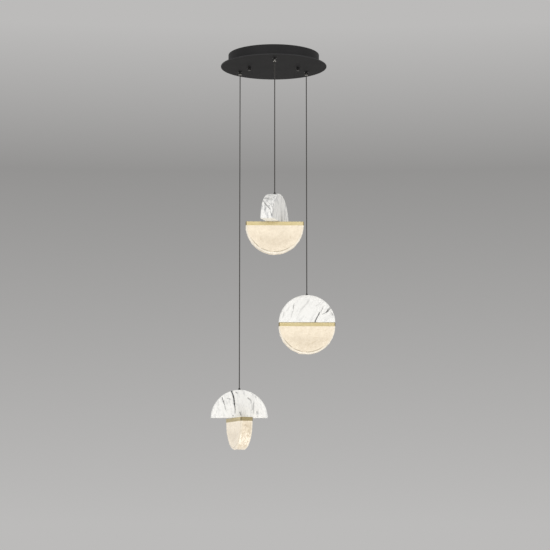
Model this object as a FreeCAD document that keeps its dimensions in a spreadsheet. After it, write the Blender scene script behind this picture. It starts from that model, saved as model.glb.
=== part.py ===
import FreeCAD
import Part
import Sketcher
import math
import os
import re

# Three-drop pendant light: a round ceiling canopy and three cords, each with a flat disc whose upper
# half is marble and whose lower half is lit glass in a brass band. The halves swivel on each other.
# Millimetres and degrees, +Z up, the ceiling plane at zero, the canopy's axis on the Z axis.

SIZES = {
    # Canopy shell
    "canopy_height": 40,
    "plate_diameter": 350,
    "plate_thickness": 3,
    "plate_edge_round": 0.8,
    "drum_diameter": 300,
    "drum_wall": 1.5,
    "drum_flange": 8,
    # Ceiling strap and what hangs from it
    "strap_width": 30,
    "strap_thickness": 2,
    "strap_end": 20,
    "strap_corner": 6,
    "slot_spacing": 70,
    "slot_length": 24,
    "slot_width": 6,
    "stud_spacing": 161,
    "stud_diameter": 5,
    "stud_nut_wall": 2,
    "stud_nut_height": 4,
    "cap_nut_diameter": 11,
    "cap_nut_height": 11,
    "cap_nut_chamfer": 1.2,
    "cap_nut_roof": 3,
    # Small screws
    "screw_diameter": 3,
    "screw_head_diameter": 5.5,
    "screw_head_height": 2,
    "screw_depth": 2,
    "screw_edge": 0.6,
    # Cord grips, with the ball and the cup that let a cord swing
    "cord_inset": 22,
    "ball_radius": 3,
    "ball_depth": 6,
    "liner_thickness": 0.7,
    "liner_rise": 1,
    "liner_mouth_play": 0.6,
    "grip_wall": 1.2,
    "grip_flange": 2,
    "grip_flange_thickness": 1.5,
    "grip_nose_below_ball": 6,
    "grip_mouth_play": 1.3,
    "grip_mouth_flare": 0.7,
    "grip_nose_taper": 0.6,
    "grip_nut_wall": 3,
    "grip_nut_height": 4,
    "grip_thread_end": 1.5,
    # Power supply and wiring
    "driver_length": 130,
    "driver_width": 44,
    "driver_height": 26,
    "driver_corner": 2,
    "driver_ear": 12,
    "driver_ear_width": 20,
    "driver_ear_thickness": 1.5,
    "driver_place": 48,
    "terminal_length": 36,
    "terminal_width": 22,
    "terminal_height": 17,
    "terminal_place": -50,
    "terminal_pitch": 11,
    "terminal_way_diameter": 4.4,
    "terminal_way_height": 6,
    "terminal_well_diameter": 3.6,
    "terminal_well_depth": 6,
    "earth_place": 55,
    "earth_diameter": 4,
    "earth_height": 12,
    "earth_base_diameter": 9,
    "earth_base_height": 3,
    "lead_diameter": 3.6,
    "lead_height": 17,
    "lead_straight": 14,
    "lead_end_gap": 0.5,
    # Cords and drops, from the plate's underside to the top of each marble half
    "cord_diameter": 3.2,
    "cord_above_ball": 4,
    "drop_high": 448,
    "drop_mid": 753,
    "drop_low": 1065,
    # Disc
    "disc_radius": 93,
    "slab_thickness": 41,
    "cut_offset": 2.5,
    "marble_edge_round": 4,
    "marble_foot_round": 1,
    "glass_edge_round": 5,
    "swivel_gap": 0.5,
    "marble_turn_high": 72,
    "glass_turn_low": -75,
    # Ferrule and stem
    "seat_diameter": 9,
    "seat_depth": 0.15,
    "ferrule_wall": 0.85,
    "ferrule_skirt": 3.2,
    "ferrule_height": 6,
    "ferrule_tip_wall": 0.95,
    "stem_wall": 1.1,
    "stem_rise": 3.5,
    "stem_shy": 1.5,
    "bore_play": 0.25,
    # Pivot between the halves
    "marble_wall": 4,
    "pocket_play": 0.5,
    "flange_thickness": 3.5,
    "clamp_washer_thickness": 1.5,
    "clamp_washer_edge": 2,
    "slip_thickness": 1,
    "thread_wall": 1.45,
    "neck_step": 0.5,
    "spring_washer_thickness": 0.8,
    "spring_washer_width": 3.3,
    "swivel_nut_wall": 3,
    "swivel_nut_height": 3,
    "stop_pin_radius": 1.5,
    "stop_pin_height": 2.6,
    "stop_groove_rim": 1,
    "stop_groove_play": 0.3,
    "stop_groove_depth": 2,
    "swivel_angle": 165,
    "stop_angle_play": 0.5,
    # Band and light
    "band_top": 2.5,
    "band_wall": 1.6,
    "band_corner": 4,
    "band_edge_round": 0.5,
    "post_radius": 3.5,
    "post_place": 45,
    "board_nut_gap": 0.45,
    "board_thickness": 1.4,
    "board_width": 24,
    "board_end_gap": 14,
    "board_hole_radius": 4,
    "chip_rows_apart": 14,
    "chip_columns": 8,
    "chip_length": 3.5,
    "chip_width": 2.8,
    "chip_height": 0.8,
    "chip_end_margin": 10,
    "light_gap": 1.2,
    "diffuser_thickness": 1.3,
    "tongue_height": 1,
    "tongue_play": 0.2,
    # Clearances
    "cord_play": 0.3,
    "fit_gap": 0.05,
}

# Sizes that follow from the ones above, written as formulas of them
PLATE_TOP = "(plate_thickness - canopy_height)"
CORD_RING = "(drum_diameter / 2 - cord_inset)"
STRAP_LENGTH = "(stud_spacing + 2 * strap_end)"
SCREW_RING = "(drum_diameter / 2 - drum_wall - screw_edge - screw_head_diameter / 2)"
BALL_Z = "(-canopy_height - ball_depth)"
SOCKET_RADIUS = "(ball_radius + liner_thickness + 2 * fit_gap)"
GRIP_RADIUS = f"({SOCKET_RADIUS} + grip_wall)"
GRIP_TOP = "(ball_depth + plate_thickness + grip_nut_height + grip_thread_end)"
LEAD_Z = f"({PLATE_TOP} + lead_height)"
CORD_RADIUS = "(cord_diameter / 2)"
HALF_HEIGHT = "(disc_radius - cut_offset)"
CHORD = "(2 * sqrt(disc_radius ^ 2 - cut_offset ^ 2))"
APEX = f"(swivel_gap + {HALF_HEIGHT})"
SEAT = f"({APEX} - seat_depth)"
STEM_RADIUS = f"({CORD_RADIUS} + cord_play + stem_wall)"
SPOOL_BORE = f"({STEM_RADIUS} + fit_gap)"
THREAD_RADIUS = f"({SPOOL_BORE} + thread_wall)"
NECK_RADIUS = f"({THREAD_RADIUS} + neck_step)"
POCKET_RADIUS = "(slab_thickness / 2 - marble_wall)"
FLANGE_RADIUS = f"({POCKET_RADIUS} - pocket_play)"
FLANGE_UNDER = "(slip_thickness + fit_gap)"
FLANGE_TOP = f"({FLANGE_UNDER} + flange_thickness)"
POCKET_ROOF = f"({FLANGE_TOP} + clamp_washer_thickness)"
GROOVE_HALF = "(stop_pin_radius + stop_groove_play)"
PIN_CIRCLE = f"({FLANGE_RADIUS} - stop_groove_rim - {GROOVE_HALF})"
GROOVE_ANGLE = f"(2 * (swivel_angle + stop_angle_play) + 2 * asin(stop_pin_radius / {PIN_CIRCLE}) / 1 deg)"
WASHER_TOP = "(-band_top - fit_gap)"
NUT_TOP = f"({WASHER_TOP} - spring_washer_thickness)"
SPOOL_END = f"({NUT_TOP} - swivel_nut_height)"
BOARD_TOP = f"({SPOOL_END} - board_nut_gap)"
BOARD_UNDER = f"({BOARD_TOP} - board_thickness)"
DIFFUSER_TOP = f"({BOARD_UNDER} - chip_height - light_gap)"
TONGUE_TOP = f"({DIFFUSER_TOP} - diffuser_thickness)"
BAND_UNDER = f"({TONGUE_TOP} - tongue_height)"
CHANNEL_LENGTH = f"({CHORD} - 2 * band_wall)"
CHANNEL_WIDTH = "(slab_thickness - 2 * band_wall)"
BOARD_LENGTH = f"({CHANNEL_LENGTH} - 2 * board_end_gap)"

# Where each pendant hangs: its bearing on the cord ring, its drop and the turn of its two halves
PENDANTS = {
    "high": {"bearing": "-90", "drop": "drop_high", "marble_turn": "marble_turn_high", "glass_turn": "0"},
    "mid": {"bearing": "30", "drop": "drop_mid", "marble_turn": "0", "glass_turn": "0"},
    "low": {"bearing": "150", "drop": "drop_low", "marble_turn": "0", "glass_turn": "glass_turn_low"},
}

DRUM_SCREW_BEARINGS = (45, 135, 225, 315)

doc = FreeCAD.newDocument("pendant_light")
sheet = doc.addObject("Spreadsheet::Sheet", "sizes")
nodes = {}
cuts = []


def fill_sheet():
    for row, (alias, number) in enumerate(SIZES.items(), start=1):
        sheet.set(f"A{row}", alias)
        sheet.set(f"B{row}", str(number))
        sheet.setAlias(f"B{row}", alias)
    doc.recompute()


def tied(formula):
    """The formula with each size's name pointing at its cell."""
    return re.sub(r"\b[a-z_]+\b", lambda word: point_at_cell(word.group()), formula)


def point_at_cell(word):
    return f"sizes.{word}" if word in SIZES else word


def value(formula):
    """The formula's number at the present sizes."""
    return float(sheet.evalExpression(tied(formula)))


def bind(thing, prop, formula):
    thing.setExpression(prop, tied(formula))


def place(thing, x="0", y="0", z="0", turn="0"):
    """Put a piece at a point, turned about the vertical."""
    upright = FreeCAD.Vector(0, 0, 1)
    spot = FreeCAD.Vector(value(x), value(y), value(z))
    thing.Placement = FreeCAD.Placement(spot, FreeCAD.Rotation(upright, value(turn)))
    bind(thing, "Placement.Base.x", x)
    bind(thing, "Placement.Base.y", y)
    bind(thing, "Placement.Base.z", z)
    if turn != "0":
        bind(thing, "Placement.Rotation.Angle", turn)


def ring_point(radius, bearing):
    return f"{radius} * cos({bearing})", f"{radius} * sin({bearing})"


# Sketches


def new_body(label):
    body = doc.addObject("PartDesign::Body", label)
    body.Label = label
    return body


def new_sketch(body, role, height="0"):
    sketch = body.newObject("Sketcher::SketchObject", f"{body.Name}_sketch")
    plane = next(part for part in body.Origin.OriginFeatures if part.Role == role)
    sketch.AttachmentSupport = [(plane, "")]
    sketch.MapMode = "FlatFace"
    bind(sketch, "AttachmentOffset.Base.z", height)
    return sketch


def constrain(sketch, formula, kind, *where):
    index = sketch.addConstraint(Sketcher.Constraint(kind, *where, value(formula)))
    bind(sketch, f"Constraints[{index}]", formula)


def pin_point(sketch, geometry, position, x, y):
    constrain(sketch, x, "DistanceX", -1, 1, geometry, position)
    constrain(sketch, y, "DistanceY", -1, 1, geometry, position)


def draw_polygon(sketch, points):
    corners = [FreeCAD.Vector(value(x), value(y), 0) for x, y in points]
    ends = corners[1:] + corners[:1]
    sides = [sketch.addGeometry(Part.LineSegment(a, b)) for a, b in zip(corners, ends)]
    for side, following in zip(sides, sides[1:] + sides[:1]):
        sketch.addConstraint(Sketcher.Constraint("Coincident", side, 2, following, 1))
    for side, (x, y) in zip(sides, points):
        pin_point(sketch, side, 1, x, y)


def draw_rectangle(sketch, length, width, x="0", y="0"):
    left = f"{x} - {length} / 2"
    right = f"{x} + {length} / 2"
    low = f"{y} - {width} / 2"
    high = f"{y} + {width} / 2"
    draw_polygon(sketch, [(left, low), (right, low), (right, high), (left, high)])


def draw_hexagon(sketch, flats):
    corner = f"{flats} / sqrt(3)"
    draw_polygon(sketch, [ring_point(corner, str(60 * side)) for side in range(6)])


def draw_circles(sketch, radius, centres):
    for x, y in centres:
        middle = FreeCAD.Vector(value(x), value(y), 0)
        ring = sketch.addGeometry(Part.Circle(middle, FreeCAD.Vector(0, 0, 1), value(radius)))
        pin_point(sketch, ring, 3, x, y)
        constrain(sketch, radius, "Radius", ring)


def draw_half_disc(sketch, flat, centre, upper):
    """A chord at the height called flat and the disc's arc above or below it."""
    radius = value("disc_radius")
    rise = value(flat) - value(centre)
    reach = math.sqrt(radius ** 2 - rise ** 2)
    right = FreeCAD.Vector(reach, value(flat), 0)
    left = FreeCAD.Vector(-reach, value(flat), 0)
    circle = Part.Circle(FreeCAD.Vector(0, value(centre), 0), FreeCAD.Vector(0, 0, 1), radius)
    angles = [math.atan2(rise, reach), math.atan2(rise, -reach) % (2 * math.pi)]
    if not upper:
        angles = [angles[1], angles[0] + 2 * math.pi]
    start, end = (right, left) if upper else (left, right)
    arc = sketch.addGeometry(Part.ArcOfCircle(circle, *angles))
    chord = sketch.addGeometry(Part.LineSegment(end, start))
    sketch.addConstraint(Sketcher.Constraint("Coincident", arc, 2, chord, 1))
    sketch.addConstraint(Sketcher.Constraint("Coincident", chord, 2, arc, 1))
    sketch.addConstraint(Sketcher.Constraint("Horizontal", chord))
    constrain(sketch, flat, "DistanceY", -1, 1, chord, 1)
    pin_point(sketch, arc, 3, "0", centre)
    constrain(sketch, "disc_radius", "Radius", arc)


# Features


def pad(body, sketch, length, downward=False, both_ways=False):
    feature = body.newObject("PartDesign::Pad", f"{body.Name}_pad")
    feature.Profile = sketch
    feature.SideType = "Symmetric" if both_ways else "One side"
    feature.Reversed = downward
    bind(feature, "Length", length)
    return feature


def pocket(body, sketch, length, upward=False, both_ways=False):
    feature = body.newObject("PartDesign::Pocket", f"{body.Name}_pocket")
    feature.Profile = sketch
    feature.SideType = "Symmetric" if both_ways else "One side"
    feature.Reversed = upward
    bind(feature, "Length", length)
    cuts.append(feature)


def turn(body, profile):
    """Material turned about the vertical from (radius, height) points."""
    sketch = new_sketch(body, "XZ_Plane")
    draw_polygon(sketch, profile)
    feature = body.newObject("PartDesign::Revolution", f"{body.Name}_turned")
    feature.Profile = sketch
    feature.ReferenceAxis = (sketch, ["V_Axis"])
    feature.Angle = 360


def bore(body, profile, angle="360"):
    """A cut turned about the vertical, even to both sides of the X axis if it is no full turn."""
    sketch = new_sketch(body, "XZ_Plane")
    draw_polygon(sketch, profile)
    feature = body.newObject("PartDesign::Groove", f"{body.Name}_bore")
    feature.Profile = sketch
    feature.ReferenceAxis = (sketch, ["V_Axis"])
    feature.Midplane = True
    bind(feature, "Angle", angle)
    cuts.append(feature)


def round_edges(body, wanted, radius):
    doc.recompute()
    base = body.Tip
    names = [f"Edge{i}" for i, edge in enumerate(base.Shape.Edges, start=1) if wanted(edge)]
    feature = body.newObject("PartDesign::Fillet", f"{body.Name}_round")
    feature.Base = (base, names)
    bind(feature, "Radius", radius)


def is_upright(edge):
    return edge.Curve.TypeId == "Part::GeomLine" and abs(edge.tangentAt(edge.FirstParameter).z) > 0.99


def is_rim(edge):
    is_arc = edge.Curve.TypeId == "Part::GeomCircle"
    return is_arc and abs(edge.Curve.Radius - value("disc_radius")) < 1e-6


def lies_at(height):
    level = value(height)
    return lambda edge: abs(edge.BoundBox.ZMin - level) < 1e-6 and abs(edge.BoundBox.ZMax - level) < 1e-6


def add_node(label, thing):
    thing.Label = label
    nodes[label] = thing
    return thing


def add_group(label, pieces):
    group = doc.addObject("Part::Compound", label)
    group.Links = pieces
    return add_node(label, group)


def turned_piece(label, profile):
    body = new_body(label)
    turn(body, profile)
    return body


def hex_nut(label, flats, hole_radius, under, height):
    body = new_body(label)
    sketch = new_sketch(body, "XY_Plane", under)
    draw_hexagon(sketch, flats)
    draw_circles(sketch, hole_radius, [("0", "0")])
    pad(body, sketch, height)
    return body


def block(label, length, width, height, under="0"):
    body = new_body(label)
    sketch = new_sketch(body, "XY_Plane", under)
    draw_rectangle(sketch, length, width)
    pad(body, sketch, height)
    return body


# Canopy

GRIP_SPOTS = [ring_point(CORD_RING, pendant["bearing"]) for pendant in PENDANTS.values()]
STUD_SPOTS = [("-stud_spacing / 2", "0"), ("stud_spacing / 2", "0")]
DRUM_SCREW_SPOTS = [ring_point(SCREW_RING, str(bearing)) for bearing in DRUM_SCREW_BEARINGS]
EAR_REACH = "(driver_length / 2 + driver_ear / 2)"
DRIVER_SCREW_SPOTS = [(f"-{EAR_REACH}", "driver_place"), (EAR_REACH, "driver_place")]


def make_ceiling_bracket():
    body = block("ceiling_bracket", STRAP_LENGTH, "strap_width", "strap_thickness", "-strap_thickness")
    round_edges(body, is_upright, "strap_corner")
    straight = "(slot_length - slot_width)"
    ends = []
    for side in ("-", ""):
        middle = f"{side}slot_spacing / 2"
        slot = new_sketch(body, "XY_Plane")
        draw_rectangle(slot, straight, "slot_width", middle)
        pocket(body, slot, "strap_thickness")
        ends += [(f"{middle} - {straight} / 2", "0"), (f"{middle} + {straight} / 2", "0")]
    slot_ends = new_sketch(body, "XY_Plane")
    draw_circles(slot_ends, "slot_width / 2", ends)
    pocket(body, slot_ends, "strap_thickness")
    stud_holes = new_sketch(body, "XY_Plane")
    draw_circles(stud_holes, "stud_diameter / 2 + fit_gap", STUD_SPOTS)
    pocket(body, stud_holes, "strap_thickness")
    add_node("ceiling_bracket", body)


def make_studs_and_nuts():
    stud_end = "(-canopy_height - cap_nut_height + cap_nut_roof)"
    nut_under = "(-strap_thickness - stud_nut_height)"
    hole = "stud_diameter / 2 + fit_gap"
    cap_radius = "cap_nut_diameter / 2"
    studs, stud_nuts, cap_nuts = [], [], []
    for number, (x, y) in enumerate(STUD_SPOTS, start=1):
        stud = new_body(f"bracket_stud_{number}")
        sketch = new_sketch(stud, "XY_Plane")
        draw_circles(sketch, "stud_diameter / 2", [("0", "0")])
        pad(stud, sketch, f"-{stud_end}", downward=True)
        nut = hex_nut(f"stud_nut_{number}", "(stud_diameter + 2 * stud_nut_wall)", hole, nut_under,
                      "stud_nut_height")
        cap = turned_piece(f"cap_nut_{number}", [
            ("0", "-cap_nut_height"),
            (f"{cap_radius} - cap_nut_chamfer", "-cap_nut_height"),
            (cap_radius, "cap_nut_chamfer - cap_nut_height"),
            (cap_radius, "0"),
            (hole, "0"),
            (hole, "cap_nut_roof - cap_nut_height"),
            ("0", "cap_nut_roof - cap_nut_height"),
        ])
        place(stud, x, y)
        place(nut, x, y)
        place(cap, x, y, "-canopy_height")
        studs.append(stud)
        stud_nuts.append(nut)
        cap_nuts.append(cap)
    add_group("bracket_studs", studs)
    add_group("stud_nuts", stud_nuts)
    add_group("cap_nuts", cap_nuts)


def make_canopy_drum():
    outside = "drum_diameter / 2"
    floor = f"{PLATE_TOP} + drum_wall"
    body = turned_piece("canopy_drum", [
        (f"{outside} - drum_flange", PLATE_TOP),
        (outside, PLATE_TOP),
        (outside, "0"),
        (f"{outside} - drum_wall", "0"),
        (f"{outside} - drum_wall", floor),
        (f"{outside} - drum_flange", floor),
    ])
    holes = new_sketch(body, "XY_Plane", floor)
    draw_circles(holes, "screw_diameter / 2 + fit_gap", DRUM_SCREW_SPOTS)
    pocket(body, holes, "drum_wall")
    add_node("canopy_drum", body)


def make_canopy_plate():
    body = new_body("canopy_plate")
    disc = new_sketch(body, "XY_Plane", "-canopy_height")
    draw_circles(disc, "plate_diameter / 2", [("0", "0")])
    pad(body, disc, "plate_thickness")
    round_edges(body, lambda edge: edge.Curve.TypeId == "Part::GeomCircle", "plate_edge_round")
    for spots, radius in ((GRIP_SPOTS, f"{GRIP_RADIUS} + fit_gap"),
                          (STUD_SPOTS, "stud_diameter / 2 + fit_gap")):
        holes = new_sketch(body, "XY_Plane", PLATE_TOP)
        draw_circles(holes, radius, spots)
        pocket(body, holes, "plate_thickness")
    blind = new_sketch(body, "XY_Plane", PLATE_TOP)
    draw_circles(blind, "screw_diameter / 2 + fit_gap", DRUM_SCREW_SPOTS + DRIVER_SCREW_SPOTS)
    pocket(body, blind, "screw_depth + fit_gap")
    add_node("canopy_plate", body)


def make_screws(label, spots, under_head):
    """Pan-head screws that go down through a thin wall into the plate."""
    head = "screw_head_diameter / 2"
    shank = "screw_diameter / 2"
    reach = f"({under_head} - {PLATE_TOP} + screw_depth)"
    screws = []
    for number, (x, y) in enumerate(spots, start=1):
        screw = turned_piece(f"{label}_{number}", [
            ("0", f"-{reach}"),
            (shank, f"-{reach}"),
            (shank, "0"),
            (head, "0"),
            (head, "screw_head_height * 0.6"),
            (f"{head} * 0.7", "screw_head_height"),
            ("0", "screw_head_height"),
        ])
        place(screw, x, y, under_head)
        screws.append(screw)
    add_group(label, screws)


def make_cord_grips():
    """Each grip is made about the centre of its ball."""
    nose_end = "-grip_nose_below_ball"
    flange_under = "ball_depth - grip_flange_thickness"
    mouth = f"({CORD_RADIUS} + grip_mouth_play)"
    grips, nuts = [], []
    for number, (x, y) in enumerate(GRIP_SPOTS, start=1):
        grip = turned_piece(f"cord_grip_{number}", [
            (f"{mouth} + grip_mouth_flare", nose_end),
            (f"{GRIP_RADIUS} - grip_nose_taper", nose_end),
            (GRIP_RADIUS, f"{nose_end} + 2 * grip_nose_taper"),
            (GRIP_RADIUS, flange_under),
            (f"{GRIP_RADIUS} + grip_flange", flange_under),
            (f"{GRIP_RADIUS} + grip_flange", "ball_depth"),
            (GRIP_RADIUS, "ball_depth"),
            (GRIP_RADIUS, GRIP_TOP),
            (SOCKET_RADIUS, GRIP_TOP),
            (SOCKET_RADIUS, "0"),
            (mouth, "0"),
        ])
        socket = grip.newObject("PartDesign::SubtractiveSphere", f"cord_grip_{number}_socket")
        bind(socket, "Radius", SOCKET_RADIUS)
        cuts.append(socket)
        nut = hex_nut(f"grip_nut_{number}", f"(2 * ({GRIP_RADIUS} + grip_nut_wall))",
                      f"{GRIP_RADIUS} + fit_gap", PLATE_TOP, "grip_nut_height")
        place(grip, x, y, BALL_Z)
        place(nut, x, y)
        grips.append(grip)
        nuts.append(nut)
    add_group("cord_grips", grips)
    add_group("grip_nuts", nuts)


def make_led_driver():
    body = block("led_driver", "driver_length", "driver_width", "driver_height")
    round_edges(body, is_upright, "driver_corner")
    ears = new_sketch(body, "XY_Plane")
    draw_rectangle(ears, "(driver_length + 2 * driver_ear)", "driver_ear_width")
    pad(body, ears, "driver_ear_thickness")
    holes = new_sketch(body, "XY_Plane", "driver_ear_thickness")
    draw_circles(holes, "screw_diameter / 2 + fit_gap", [(x, "0") for x, y in DRIVER_SCREW_SPOTS])
    pocket(body, holes, "driver_ear_thickness")
    place(body, "0", "driver_place", PLATE_TOP)
    add_node("led_driver", body)
    make_screws("driver_screws", DRIVER_SCREW_SPOTS, f"({PLATE_TOP} + driver_ear_thickness)")


def make_terminals():
    body = block("terminal_block", "terminal_length", "terminal_width", "terminal_height")
    columns = [f"{step} * terminal_pitch" for step in (-1, 0, 1)]
    ways = new_sketch(body, "XZ_Plane")
    draw_circles(ways, "terminal_way_diameter / 2", [(x, "terminal_way_height") for x in columns])
    pocket(body, ways, "terminal_width", both_ways=True)
    wells = new_sketch(body, "XY_Plane", "terminal_height")
    rows = [f"{side} terminal_width / 4" for side in ("-", "")]
    draw_circles(wells, "terminal_well_diameter / 2", [(x, y) for x in columns for y in rows])
    pocket(body, wells, "terminal_well_depth")
    place(body, "0", "terminal_place", PLATE_TOP)
    add_node("terminal_block", body)
    earth = turned_piece("earth_terminal", [
        ("0", "0"),
        ("earth_base_diameter / 2", "0"),
        ("earth_base_diameter / 2", "earth_base_height"),
        ("earth_diameter / 2", "earth_base_height"),
        ("earth_diameter / 2", "earth_height"),
        ("0", "earth_height"),
    ])
    place(earth, "earth_place", "terminal_place", PLATE_TOP)
    add_node("earth_terminal", earth)


def lead_tube(label, route):
    """A round lead along straight runs that are joined by tangent arcs."""
    points = [FreeCAD.Vector(*[value(formula) for formula in point]) for point in route]
    edges = []
    start = points[0]
    for before, corner, after in zip(points, points[1:], points[2:]):
        arriving = (corner - before).normalize()
        leaving = (after - corner).normalize()
        reach = 0.45 * min((corner - before).Length, (after - corner).Length)
        half_turn = arriving.getAngle(leaving) / 2
        radius = reach / math.tan(half_turn)
        inward = (leaving - arriving).normalize()
        arc_start = corner - arriving * reach
        arc_end = corner + leaving * reach
        arc_middle = corner + inward * (radius / math.cos(half_turn) - radius)
        edges.append(Part.LineSegment(start, arc_start).toShape())
        edges.append(Part.Arc(arc_start, arc_middle, arc_end).toShape())
        print(f"{label} bend radius {radius:.1f}")
        start = arc_end
    edges.append(Part.LineSegment(start, points[-1]).toShape())
    path = Part.Wire(edges)
    section = Part.Circle(points[0], points[1] - points[0], value("lead_diameter") / 2)
    tube = path.makePipeShell([Part.Wire(section.toShape())], True, False)
    expected = math.pi * value("lead_diameter") ** 2 / 4 * path.Length
    if abs(tube.Volume / expected - 1) > 0.001:
        raise RuntimeError(f"{label}: its volume is not its section times its length")
    piece = doc.addObject("Part::Feature", label)
    piece.Shape = tube
    return piece


def make_leads():
    """Leads leave the driver and the terminals square to their faces."""
    outlet = "driver_length / 2"
    lead_end = f"({BALL_Z} + cord_above_ball + lead_end_gap)"
    on_the_way = {
        "high": [("104", "16"), ("106", "-34"), ("78", "-92"), ("36", "-122")],
        "mid": [],
        "low": [("96", "78"), ("72", "104"), ("18", "116"), ("-46", "112"), ("-92", "90")],
    }
    outlet_steps = {"high": "-12", "mid": "0", "low": "12"}
    leads = []
    for (name, stops), (x, y) in zip(on_the_way.items(), GRIP_SPOTS):
        outlet_y = f"driver_place + {outlet_steps[name]}"
        start = [(outlet, outlet_y), (f"{outlet} + lead_straight", outlet_y)]
        flat_points = start + stops + [(x, y)]
        route = [(px, py, LEAD_Z) for px, py in flat_points] + [(x, y, lead_end)]
        leads.append(lead_tube(f"output_lead_{name}", route))
    add_group("output_leads", leads)
    way = f"{PLATE_TOP} + terminal_way_height"
    block_face = "(terminal_place + terminal_width / 2)"
    inlet_y = "driver_place + 14"
    mains_points = [
        ("-terminal_pitch", block_face),
        ("-terminal_pitch", f"{block_face} + lead_straight"),
        ("-34", "2"),
        ("-72", "14"),
        ("-98", "36"),
        ("-92", "58"),
        ("-driver_length / 2 - lead_straight", inlet_y),
        ("-driver_length / 2", inlet_y),
    ]
    add_node("mains_lead", lead_tube("mains_lead_tube", [(x, y, way) for x, y in mains_points]))


# Pendants, each made about its swivel axis with the band's top at zero


def pendant_spot(pendant):
    x, y = ring_point(CORD_RING, pendant["bearing"])
    return x, y, f"-canopy_height - {pendant['drop']} - {APEX}"


def make_swing_parts(name, pendant):
    """The cup, the ball and the cord, made about the ball's centre."""
    x, y, band_z = pendant_spot(pendant)
    past = "2 * ball_radius"
    opening = f"{CORD_RADIUS} + liner_mouth_play"
    liner = new_body(f"swing_liner_{name}")
    outside = liner.newObject("PartDesign::AdditiveSphere", f"swing_liner_{name}_outside")
    bind(outside, "Radius", "ball_radius + fit_gap + liner_thickness")
    inside = liner.newObject("PartDesign::SubtractiveSphere", f"swing_liner_{name}_inside")
    bind(inside, "Radius", "ball_radius + fit_gap")
    cuts.append(inside)
    bore(liner, [("0", f"-{past}"), (opening, f"-{past}"), (opening, "liner_rise"), (past, "liner_rise"),
                 (past, past), ("0", past)])
    ball = new_body(f"cord_ball_{name}")
    sphere = ball.newObject("PartDesign::AdditiveSphere", f"cord_ball_{name}_sphere")
    bind(sphere, "Radius", "ball_radius")
    hole = f"{CORD_RADIUS} + fit_gap"
    bore(ball, [("0", f"-{past}"), (hole, f"-{past}"), (hole, past), ("0", past)])
    cord = new_body(f"cord_{name}")
    sketch = new_sketch(cord, "XY_Plane", "cord_above_ball")
    draw_circles(sketch, CORD_RADIUS, [("0", "0")])
    cord_end = f"({band_z} + {SPOOL_END} + 2 * stem_shy)"
    pad(cord, sketch, f"{BALL_Z} + cord_above_ball - {cord_end}", downward=True)
    for label, body in (("swing_liner", liner), ("cord_ball", ball), ("cord", cord)):
        place(body, x, y, BALL_Z)
        add_node(f"{label}_{name}", body)


def make_marble_half(name):
    body = new_body(f"marble_half_{name}")
    outline = new_sketch(body, "XZ_Plane")
    draw_half_disc(outline, "swivel_gap", "swivel_gap - cut_offset", upper=True)
    pad(body, outline, "slab_thickness", both_ways=True)
    round_edges(body, is_rim, "marble_edge_round")
    round_edges(body, lies_at("swivel_gap"), "marble_foot_round")
    below = "-swivel_gap"
    above = f"{APEX} + seat_diameter"
    stem_hole = f"{STEM_RADIUS} + bore_play"
    bore(body, [
        ("0", below),
        (POCKET_RADIUS, below),
        (POCKET_RADIUS, POCKET_ROOF),
        (stem_hole, POCKET_ROOF),
        (stem_hole, SEAT),
        ("seat_diameter / 2", SEAT),
        ("seat_diameter / 2", above),
        ("0", above),
    ])
    return body


def make_ferrule(name):
    skirt = f"{SPOOL_BORE} + ferrule_wall"
    hole = f"{CORD_RADIUS} + fit_gap"
    inner_step = f"{SEAT} + stem_rise + cord_play"
    return turned_piece(f"ferrule_{name}", [
        (SPOOL_BORE, SEAT),
        (skirt, SEAT),
        (skirt, f"{SEAT} + ferrule_skirt"),
        (f"{hole} + ferrule_tip_wall", f"{SEAT} + ferrule_height"),
        (hole, f"{SEAT} + ferrule_height"),
        (hole, inner_step),
        (SPOOL_BORE, inner_step),
    ])


def ring(label, inside, outside, under, top):
    return turned_piece(label, [(inside, under), (outside, under), (outside, top), (inside, top)])


def make_pivot_spool(name):
    body = turned_piece(f"pivot_spool_{name}", [
        (SPOOL_BORE, SPOOL_END),
        (THREAD_RADIUS, SPOOL_END),
        (THREAD_RADIUS, "-band_top"),
        (NECK_RADIUS, "-band_top"),
        (NECK_RADIUS, FLANGE_UNDER),
        (FLANGE_RADIUS, FLANGE_UNDER),
        (FLANGE_RADIUS, FLANGE_TOP),
        (SPOOL_BORE, FLANGE_TOP),
    ])
    near = f"{PIN_CIRCLE} - {GROOVE_HALF}"
    far = f"{PIN_CIRCLE} + {GROOVE_HALF}"
    depth = f"{FLANGE_UNDER} + stop_groove_depth"
    bore(body, [(near, "0"), (far, "0"), (far, depth), (near, depth)], GROOVE_ANGLE)
    return body


def make_upper_parts(name, pendant):
    """The marble half and what is fixed to it."""
    x, y, band_z = pendant_spot(pendant)
    stem_end = f"{SPOOL_END} + stem_shy"
    nut_flats = f"(2 * ({THREAD_RADIUS} + swivel_nut_wall))"
    parts = {
        "marble_half": make_marble_half(name),
        "ferrule": make_ferrule(name),
        "stem_tube": ring(f"stem_tube_{name}", f"{CORD_RADIUS} + cord_play", STEM_RADIUS, stem_end,
                          f"{SEAT} + stem_rise"),
        "clamp_washer": ring(f"clamp_washer_{name}", f"{STEM_RADIUS} + bore_play",
                             f"{FLANGE_RADIUS} - clamp_washer_edge", FLANGE_TOP, POCKET_ROOF),
        "pivot_spool": make_pivot_spool(name),
        "spring_washer": ring(f"spring_washer_{name}", f"{THREAD_RADIUS} + bore_play",
                              f"{THREAD_RADIUS} + spring_washer_width", NUT_TOP, WASHER_TOP),
        "swivel_nut": hex_nut(f"swivel_nut_{name}", nut_flats, f"{THREAD_RADIUS} + fit_gap", SPOOL_END,
                              "swivel_nut_height"),
    }
    for label, body in parts.items():
        place(body, x, y, band_z, pendant["marble_turn"])
        add_node(f"{label}_{name}", body)


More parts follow.
